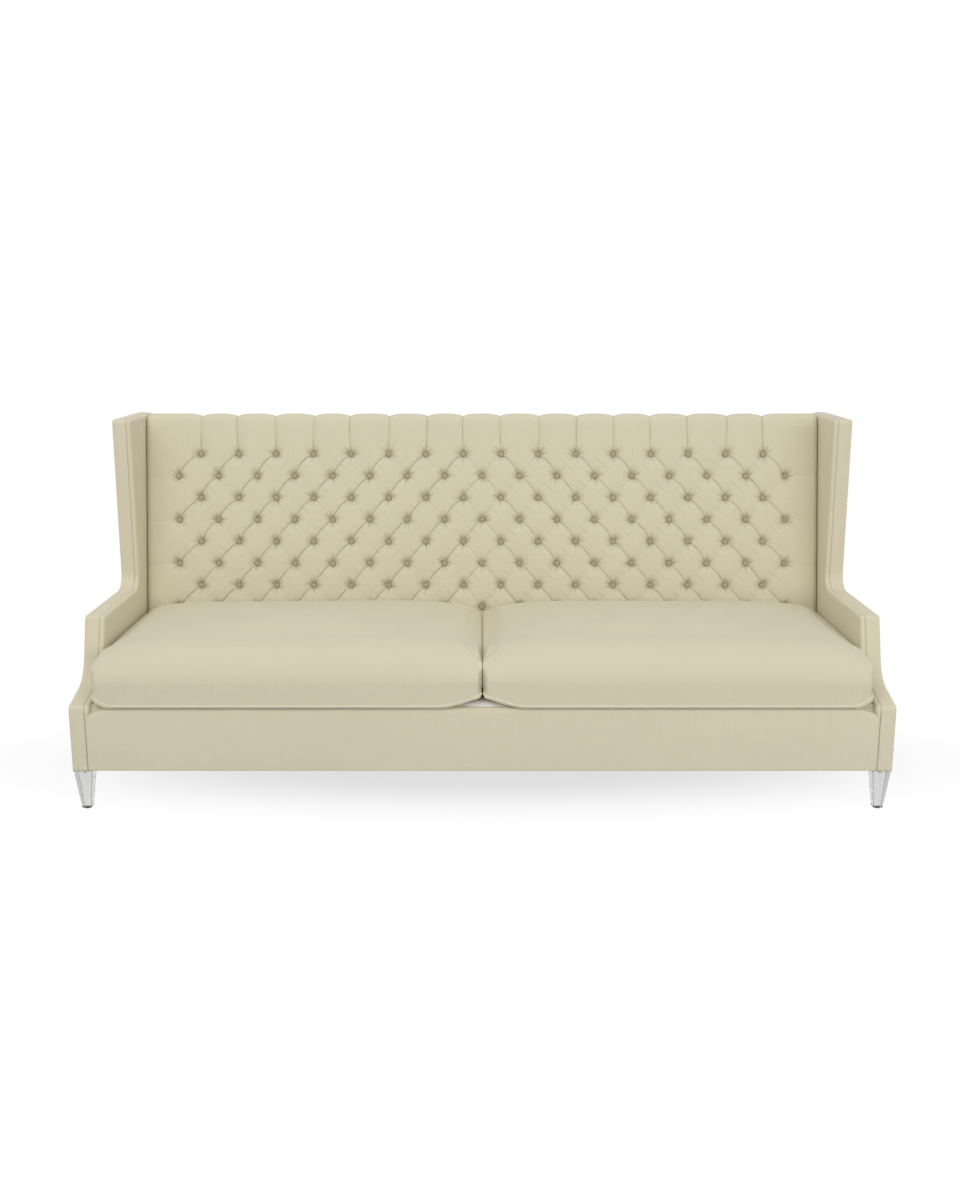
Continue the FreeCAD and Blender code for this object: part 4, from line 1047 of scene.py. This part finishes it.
def cloth_sheet(name, flat, place, thickness, finish, node, slot, rests_on, wave=0.0004):
    """A stretched sheet: place(u, v, drift) gives its points."""
    across, along = flat
    rows = []
    for v in np.linspace(0, along, round(along / 0.015)):
        row = []
        for u in np.linspace(-across / 2, across / 2, round(across / 0.015)):
            drift = wave * (math.sin(11 * u + 3 * v) + math.sin(17 * v + 5 * u) - 1.2)
            row.append(place(u, v, drift))
        rows.append(row)
    sheet = add_piece(name, *loft(rows, closed=False, caps=False), finish, stands_for=[node], slot=slot)
    thick = sheet.modifiers.new("thickness", "SOLIDIFY")
    thick.thickness = thickness
    thick.offset = 0.0
    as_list(rests_on)
    print(name, "flat", round(across, 3), "by", round(along, 3))


def on_deck(u, v, drift):
    """The deck cloth stops short at its front corners, and crowns a little between the cushions."""
    notch = CORNER_DEEP * at_corner(u)
    near_front = float(smooth(v, -0.004, 0.018) * (1 - smooth(v, 0.03, 0.12)))
    crown = DECK_CROWN * math.exp(-((u / 0.055) ** 2)) * near_front
    return (u, DECK_FRONT + notch + v * (DECK_DEEP - notch) / DECK_DEEP, 0.3212 + drift + crown)


def under_seat(u, v, drift):
    return (u, -0.4335 + v, 0.1276 - 0.5 * drift)


def outer_back(u, v, drift):
    """The back cloth ends level with the wings at its two sides, and with the padded top between them."""
    top = WING_Z - 0.0005 - (TOP_FALL - 0.006) * (1 - float(smooth(abs(u), 1.156, 1.172)))
    z = BASE_Z + 0.0005 + v / BACK_SLOPE * (top - BASE_Z - 0.0005)
    return (u, rear_line(z) - 0.0024 + drift, z)


deck_flat, dust_flat, back_flat = (2.318, DECK_DEEP), (2.426, 0.812), (2.438, BACK_SLOPE)
seat_rails = ["front_seat_rail", "rear_tack_rail"]
back_rails = ["top_back_rail", "rear_tack_rail"]
back_names = ("outside_back_cover", "upholstery_fabric")
cloth_sheet(
    "seat_deck_cloth", deck_flat, on_deck, 0.0012, deck_cloth_finish, "deck_cloth", "deck_cloth", ["deck_pad"]
)
cloth_sheet(
    "under_dust_cloth", dust_flat, under_seat, 0.0008, dust_finish, "dust_cover", "dust_cloth", seat_rails
)
cloth_sheet("outer_back_cloth", back_flat, outer_back, 0.0030, linen, *back_names, back_rails, wave=0.0003)

# %% [markdown]
# ## Clear legs
# The legs are square, tapered blocks of clear acrylic, and the polished chamfer on every edge catches the
# light. It could be modelled point by point. The bevel modifier cuts all the edges at once, and gives them
# the darker tint, painted shade for the light that leaves them sideways.

# %% Legs
LEG_RINGS = ((0.0025, 0.0138), (0.1249, 0.0270))
SQUARE = ((-1, -1), (1, -1), (1, 1), (-1, 1))
for place in ("front_left", "front_right", "rear_left", "rear_right", "centre"):
    low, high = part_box(f"{place}_leg")
    middle = (low + high) / 2
    rings = [[(middle.x + a * half, middle.y + b * half, z) for a, b in SQUARE] for z, half in LEG_RINGS]
    leg = add_piece(
        f"{place}_leg_block", *loft(rings), acrylic, stands_for=[f"{place}_leg"], slot="clear_acrylic"
    )
    leg.data.shade_flat()
    leg.data.materials.append(shaded_acrylic_edge)
    chamfer = leg.modifiers.new("chamfer", "BEVEL")
    chamfer.width = 0.0016
    chamfer.segments = 2
    chamfer.material = 1
    print(leg.name, "at", round(middle.x, 3), round(middle.y, 3))

# %% [markdown]
# ## Filling the seat cushions
# A cushion is a sewn bag that its filling blows up; a rounded box looks like soap. So let a cloth simulation
# blow up the core of the CAD cushion. Keep only the swell along each normal and cap it, so that the cushion
# stays between the arms.

# %% Blow up one cushion
EASE = 0.003
LIFT_CAP = 0.024
SIM_FRAMES = 16
cloth_settings = {
    "quality": 5,
    "mass": 0.3,
    "tension_stiffness": 18,
    "compression_stiffness": 18,
    "shear_stiffness": 6,
    "bending_stiffness": 2.5,
    "use_pressure": True,
    "uniform_pressure_force": 4.0,
}


def bare_copy(name, source):
    copy = bpy.data.objects.new(name, source.data.copy())
    copy.data.materials.clear()
    bpy.context.collection.objects.link(copy)
    return copy


def applied(piece):
    """Makes what the modifiers show into the mesh itself."""
    graph = bpy.context.evaluated_depsgraph_get()
    mesh = bpy.data.meshes.new_from_object(piece.evaluated_get(graph))
    old = piece.data
    piece.modifiers.clear()
    piece.data = mesh
    bpy.data.meshes.remove(old)


def points_of(mesh):
    points = np.empty(len(mesh.vertices) * 3)
    mesh.vertices.foreach_get("co", points)
    return points.reshape(-1, 3)


def set_points(mesh, points):
    mesh.vertices.foreach_set("co", points.ravel())
    mesh.update()


def normals_of(mesh):
    return np.array([vertex.normal for vertex in mesh.vertices])


def inflate(piece):
    """Runs a short cloth simulation with pressure inside the piece."""
    cloth = piece.modifiers.new("cloth", "CLOTH")
    for name, setting in cloth_settings.items():
        setattr(cloth.settings, name, setting)
    cloth.settings.effector_weights.gravity = 0
    cloth.point_cache.frame_start = 1
    cloth.point_cache.frame_end = SIM_FRAMES
    for number in range(1, SIM_FRAMES + 1):
        bpy.context.scene.frame_set(number)
        bpy.context.view_layer.update()
    applied(piece)
    bpy.context.scene.frame_set(1)


def puffed_cushion():
    """The left cushion blown up from its core; the swell is eased in near the zip."""
    cushion = bare_copy("cushion_shape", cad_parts["left_cushion_core"])
    remesh = cushion.modifiers.new("even", "REMESH")
    remesh.mode = "VOXEL"
    remesh.voxel_size = 0.008 if FINE else 0.016
    cushion.modifiers.new("ease", "SMOOTH").iterations = 6
    applied(cushion)
    rest, outward = points_of(cushion.data), normals_of(cushion.data)
    if FINE:
        inflate(cushion)
    swell = ((points_of(cushion.data) - rest) * outward).sum(1)
    swell = EASE * np.logaddexp(0, swell / EASE)
    swell = LIFT_CAP - EASE * np.logaddexp(0, (LIFT_CAP - swell) / EASE)
    up_slope = (rest[:, 2] - DECK_Z) / math.cos(RECLINE)
    beside_zip = smooth(rest[:, 1] - back_line(rest[:, 2]), -0.070, -0.040)
    swell *= 1 - beside_zip * (1 - smooth(np.abs(up_slope - 0.073), 0.028, 0.055))
    print("cushion swells up to", round(float(swell.max()), 4))
    puffed = rest + outward * swell[:, None]
    cover_low, cover_high = (np.array(corner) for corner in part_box("left_cushion_cover"))
    low, high = puffed.min(0), puffed.max(0)
    set_points(cushion.data, cover_low + (puffed - low) * (cover_high - cover_low) / (high - low))
    return cushion


pattern = puffed_cushion()

# %% [markdown]
# ## Shaping the cushions
# The simulation knows nothing of what the cushion lies on. It could be sculpted afterwards, but sums can be
# changed and run again. They roll the front over into the top, raise a crown, press the bottom and back
# flat, and lift the two front corners, as in the photograph. The right cushion is the mirrored left one with
# other waves, since both are sewn from one pattern.

# %% Shape of a cushion
CUSHION_MIDDLE = 0.5776
CUSHION_X = (0.0005, 1.1548)
CUSHION_END = 1.156
CUSHION_FLOOR = DECK_Z + 0.0012
CUSHION_FRONT = -0.4875
CUSHION_CROWN = 0.023
CROWN_FALL = 0.010
ROLL_CENTRE = (-0.350, 0.392)
ROLL_TOP = 0.507
EDGE_FROM = -0.400


def fold_noise(points, seed):
    """Soft, slow waves that make the two cushions differ."""
    x, y, z = points.T
    first = np.sin(5.1 * x + 2.3 * seed) * np.sin(6.7 * y + seed) * 0.0016
    return first + np.sin(13.0 * x + 7 * z + seed) * np.sin(9.0 * y - 4 * seed) * 0.0007


def corner_lift(x, y):
    """How far the lower edge of a cushion stands off the deck: at its two front corners only."""
    near_front = 1 - smooth(y, -0.480, -0.300)
    inner = np.clip(1 - x / 0.118, 0, 1) ** 1.35
    outer = smooth(x, 1.104, 1.158)
    return near_front * (0.0340 * inner + 0.0240 * outer)


def rolled_front(points, outward, x, fall):
    """Shapes the front of the cushion: an upright face that rolls over into the top."""
    centre_y, centre_z = ROLL_CENTRE
    ahead, above = centre_y - points[:, 1], points[:, 2] - centre_z
    reach = np.hypot(ahead, above) + 1e-9
    a, b = ahead / reach, above / reach
    end_draw = 0.016 * np.exp(-(CUSHION_END - x) / 0.012) + 0.008 * np.exp(-x / 0.010)
    wide = centre_y - CUSHION_FRONT - end_draw
    tall = ROLL_TOP - centre_z - fall
    round_reach = 1 / np.sqrt((np.maximum(a, 0.0) / wide) ** 2 + (b / tall) ** 2)
    flat_reach = wide / np.maximum(a, 0.05)
    floor_reach = (centre_z - CUSHION_FLOOR) / np.maximum(-b, 0.05)
    target = np.where(b > 0, round_reach, np.minimum(flat_reach, floor_reach))
    share = smooth(ahead, -0.13, 0.03)
    pushed = share * (1 - smooth(np.abs(outward[:, 0]), 0.35, 0.75))
    moved = reach + (target - reach) * np.where(target < reach, share, pushed)
    shaped = points.copy()
    shaped[:, 1] = centre_y - a * moved
    shaped[:, 2] = centre_z + b * moved
    return shaped


def shaped_points(points, outward, side):
    """The blown up cushion, crowned, rolled over at the front and pressed flat where it rests."""
    x = np.clip(CUSHION_MIDDLE + (side * points[:, 0] - CUSHION_MIDDLE) * 1.018, *CUSHION_X)
    points[:, 0] = side * x
    crown = (1 - np.exp(-(CUSHION_END - x) / 0.120)) * (1 - np.exp(-((x / 0.100) ** 1.2)))
    points[:, 2] += (CUSHION_CROWN * crown - CROWN_FALL) * smooth(points[:, 2], 0.40, 0.50)
    fall = 0.045 * np.exp(-(CUSHION_END - x) / 0.085) + 0.036 * np.exp(-((x / 0.075) ** 1.2))
    points = rolled_front(points, outward, x, fall)
    points[:, 1] = np.clip(points[:, 1], CUSHION_FRONT - 0.001, back_line(points[:, 2], -0.010))
    points[:, 2] = np.maximum(points[:, 2], CUSHION_FLOOR)
    under = (points[:, 2] < CUSHION_FLOOR + 0.0015) & (points[:, 1] < EDGE_FROM)
    reached = EDGE_FROM + (points[:, 1] - EDGE_FROM) * 1.72
    points[:, 1] = np.where(under, np.maximum(reached, CUSHION_FRONT + 0.001), points[:, 1])
    low_part = 1 - smooth(points[:, 2], DECK_Z + 0.02, DECK_Z + 0.11)
    points[:, 2] += low_part * corner_lift(x, points[:, 1])
    return points


def make_cushion(side, name):
    """One seat cushion, from the puffed pattern."""
    cushion = bare_copy(f"{name}_seat_cushion", pattern)
    if side > 0:
        cushion.data.transform(Matrix.Scale(-1, 4, (1, 0, 0)))
        cushion.data.flip_normals()
    points = points_of(cushion.data)
    points[:, 2] += fold_noise(points, 1.0 if side < 0 else 2.4) * smooth(points[:, 2], 0.40, 0.48)
    set_points(cushion.data, points)
    finer = cushion.modifiers.new("finer", "SUBSURF")
    finer.levels = finer.render_levels = 1 if FINE else 0
    cushion.modifiers.new("relaxed", "SMOOTH").iterations = 5 if FINE else 1
    applied(cushion)
    set_points(cushion.data, shaped_points(points_of(cushion.data), normals_of(cushion.data), side))
    cushion.data.shade_smooth()
    cushion.data.materials.append(shaded_cushion_linen)
    settle(cushion, f"{name}_cushion", [f"{name}_cushion_cover", f"{name}_cushion_core"])
    print(name, "cushion", len(cushion.data.polygons), "faces")
    return cushion


print("pattern of", len(pattern.data.vertices), "points")

# %% [markdown]
# ## Seams of the cushions
# A self-edge, a narrow fold of the cloth, runs around the bottom of each cushion, and a plain seam around
# each end. The cushion's shape came out of a simulation, so a path can't be drawn beforehand. Shoot rays at
# it from outside, and lay a thin cord where they meet it.

# %% Cushions and their seams
EDGE_HEIGHT = 0.0060
EDGE_RADIUS, SEAM_RADIUS = 0.0026, 0.0010
END_SEAMS = (0.010, 1.146)
PLAN_X, PLAN_Y = 0.577, -0.135
plan_corners = [(0.0, -0.49, 0.02), (0.0, 0.21, 0.02), (1.157, 0.21, 0.02), (1.157, -0.49, 0.02)]


def met_points(piece, rays):
    """Where rays, each a start and a direction, first meet the piece."""
    tree = BVHTree.FromObject(piece, bpy.context.evaluated_depsgraph_get())
    found = [tree.ray_cast(Vector(start), Vector(way).normalized())[0] for start, way in rays]
    return np.array([tuple(place) for place in found if place is not None])


def soften(path, times):
    """Evens out a closed path."""
    for _ in range(times):
        path = (np.roll(path, 1, 0) + 2 * path + np.roll(path, -1, 0)) / 4
    return path


def edge_rays(side):
    """Rays at the lower edge of a cushion, from all round it."""
    for x, y in rounded_path(plan_corners, 0.010, closed=True):
        height = CUSHION_FLOOR + EDGE_HEIGHT + float(corner_lift(x, y))
        ends = []
        for far_x, far_y in ((1.25, 1.4), (0.9, 0.85)):
            ends.append(
                np.array((side * (PLAN_X + (x - PLAN_X) * far_x), PLAN_Y + (y - PLAN_Y) * far_y, height))
            )
        yield ends[0], ends[1] - ends[0]


def end_rays(side, x):
    """Rays at a cushion from a ring around one of its ends."""
    centre = np.array((side * x, -0.13, 0.41))
    for angle in np.linspace(0, 2 * math.pi, 180, endpoint=False):
        way = np.array((0.0, 1.9 * math.cos(angle), math.sin(angle)))
        yield centre + way, -way


for side, name in SIDES:
    cushion = make_cushion(side, name)
    shells = [cord(soften(met_points(cushion, edge_rays(side)), 2), EDGE_RADIUS)]
    for x in END_SEAMS:
        shells.append(cord(soften(met_points(cushion, end_rays(side, x)), 1), SEAM_RADIUS, sides=6))
    seams = add_piece(f"{name}_cushion_seams", *join_shells(*shells), welt_highlight_linen, f"{name}_cushion")
    print(seams.name, len(seams.data.polygons), "faces")
bpy.data.objects.remove(pattern)

# %% [markdown]
# ## Zips
# A zip in the back of each cushion lets the cover come off, and shows once the cushion is lifted. A textured
# strip would look flat there. Small blocks make the tape, two rows of teeth that interlock, and a slider
# with its pull, which rides on a body of its own.

# %% Zips
ZIP_X = (0.093, 1.060)
ZIP_HEIGHT = 0.072
ZIP_FLOOR = DECK_Z + 0.0003
TOOTH_PITCH = 0.0024
cushion_back_y = back_line(ZIP_FLOOR, -0.014)


def block(side, x_range, up_range, deep_range):
    """A small box: x from the middle, up from the middle of the zip, deep from the cushion's back."""
    ends = []
    for x in x_range:
        ring = []
        for a, b in ((0, 0), (1, 0), (1, 1), (0, 1)):
            up, deep = ZIP_HEIGHT + up_range[a], deep_range[b]
            y = cushion_back_y + up * math.sin(RECLINE) - deep * math.cos(RECLINE)
            ring.append((side * x, y, ZIP_FLOOR + up * math.cos(RECLINE) + deep * math.sin(RECLINE)))
        ends.append(ring)
    return loft(ends)


def slider_blocks(side, x):
    """The slider's body, its two cheeks round the teeth, the bridge and the pull."""
    length = (x, x + 0.011)
    return [
        block(side, length, (-0.005, 0.005), (0.0042, 0.0016)),
        block(side, length, (-0.005, -0.0031), (0.0064, 0.0042)),
        block(side, length, (0.0031, 0.005), (0.0064, 0.0042)),
        block(side, (x + 0.002, x + 0.009), (-0.001, 0.001), (0.0016, 0.0009)),
        block(side, (x + 0.004, x + 0.024), (-0.003, 0.003), (0.0009, -0.0002)),
    ]


for side, name in SIDES:
    start, end = ZIP_X
    body = f"{name}_cushion"
    tape = block(side, ZIP_X, (-0.010, 0.010), (0.0079, 0.0069))
    add_piece(f"{name}_zip_cloth", *tape, tape_finish, body, slot="zip_tape")
    teeth = []
    for k in range(int((end - start - 0.008) / TOOTH_PITCH)):
        x = start + 0.004 + k * TOOTH_PITCH
        shift = 0.0006 if k % 2 else -0.0006
        heights = (shift - 0.0019, shift + 0.0019)
        teeth.append(block(side, (x - 0.0008, x + 0.0008), heights, (0.0069, 0.0048)))
    chain = add_piece(
        f"{name}_zip_teeth", *join_shells(*teeth), zip_brass, body, [f"{name}_zip_tape"], "zip_metal"
    )
    chain.data.shade_flat()
    metal_parts = join_shells(*slider_blocks(side, start + 0.0003))
    slider = add_piece(
        f"{name}_zip_pull", *metal_parts, zip_brass, f"{name}_zip", [f"{name}_zip_slider"], "zip_metal"
    )
    slider.data.shade_flat()
    soft_edge = slider.modifiers.new("soft_edge", "BEVEL")
    soft_edge.width = 0.0003
    soft_edge.segments = 2
    print(name, "zip", len(teeth), "teeth")

# %% [markdown]
# ## The white room
# The photograph is taken in a white room, where only the shade under the settee shows. More light would wash
# out the linen. Instead, floor and world show plain white to the rays that only look at them. The floor's
# white fades in an oval under the settee, so that its shade stays.

# %% Room
ROOM_LIGHT = 0.63
SHADE_WHITE = 0.72


def seen_white(nodes):
    """1 for the rays that look at the surroundings: from the camera, in a gloss or through the legs."""
    rays = nodes.add("ShaderNodeLightPath").outputs
    clear = nodes.math("MAXIMUM", rays["Is Transmission Ray"], rays["Is Glossy Ray"])
    return nodes.math("MAXIMUM", rays["Is Camera Ray"], clear)


floor_finish, floor_nodes, floor_shader = surface("white_floor", (0.62, 0.62, 0.62, 1.0), 0.9)
glow = floor_nodes.add("ShaderNodeEmission", (1.0, 1.0, 1.0, 1.0), 1.0)
oval = floor_nodes.vector("MULTIPLY", floor_nodes.place(), (0.34, 1.0, 1.0))
away = floor_nodes.vector("LENGTH", oval, output="Value")
far = floor_nodes.ramp(away, 0.20, 0.66, SHADE_WHITE, 1.0)
share = floor_nodes.math("MULTIPLY", far, seen_white(floor_nodes))
floor_mix = floor_nodes.add("ShaderNodeMixShader", share, floor_shader.outputs[0], glow.outputs[0])
floor_output = floor_nodes.tree.nodes["Material Output"]
floor_nodes.feed(floor_output.inputs["Surface"], floor_mix.outputs[0])
bpy.ops.mesh.primitive_plane_add(size=60, location=(0, 0, 0))
floor = bpy.context.object
floor.name = "studio_floor"
floor.data.materials.append(floor_finish)

world = bpy.context.scene.world or bpy.data.worlds.new("studio")
bpy.context.scene.world = world
world.use_nodes = True
world.node_tree.nodes.clear()
sky = Nodes(world.node_tree)
room = sky.add("ShaderNodeBackground", (1.0, 1.0, 1.0, 1.0), ROOM_LIGHT)
white = sky.add("ShaderNodeBackground", (1.0, 1.0, 1.0, 1.0), 1.0)
sky_mix = sky.add("ShaderNodeMixShader", seen_white(sky), room.outputs[0], white.outputs[0])
sky.add("ShaderNodeOutputWorld", sky_mix.outputs[0])
print("room light", ROOM_LIGHT, "floor white under the settee", SHADE_WHITE)

# %% [markdown]
# ## Lamps and camera
# Large lamps give the soft shade that shows the shape of cloth; small ones would draw hard edges. The key
# stands high on the left, the fill low on the right, and a weak one above. The camera was fitted to the
# edges of the settee in the photograph.

# %% Lamps and camera
lamps = (
    ("key_light", (-1.6, -3.2, 3.6), (0, 0, 0.6), (3.4, 2.2), 62),
    ("fill_light", (2.6, -3.6, 1.9), (0, 0, 0.5), (3.0, 2.0), 42),
    ("top_light", (0, 0.4, 4.2), (0, 0, 0.4), (4.5, 2.5), 14),
)
for name, place, target, size, watts in lamps:
    light = bpy.data.lights.new(name, "AREA")
    light.shape = "RECTANGLE"
    light.size, light.size_y = size
    light.energy = watts
    lamp = bpy.data.objects.new(name, light)
    bpy.context.collection.objects.link(lamp)
    lamp.location = place
    lamp.rotation_euler = (Vector(target) - Vector(place)).to_track_quat("-Z", "Y").to_euler()

camera_data = bpy.data.cameras.new("photo_camera")
camera_data.lens = 38.4
camera_data.sensor_width = 36.0
camera_data.sensor_fit = "AUTO"
camera = bpy.data.objects.new("photo_camera", camera_data)
bpy.context.collection.objects.link(camera)
camera.location = (-0.0073, -4.086, 1.459)
camera.rotation_euler = (math.radians(77.32), 0.0, 0.0)
bpy.context.scene.camera = camera
bpy.context.scene.view_settings.view_transform = "Standard"
print("lamps", len(lamps), "lens", camera_data.lens)
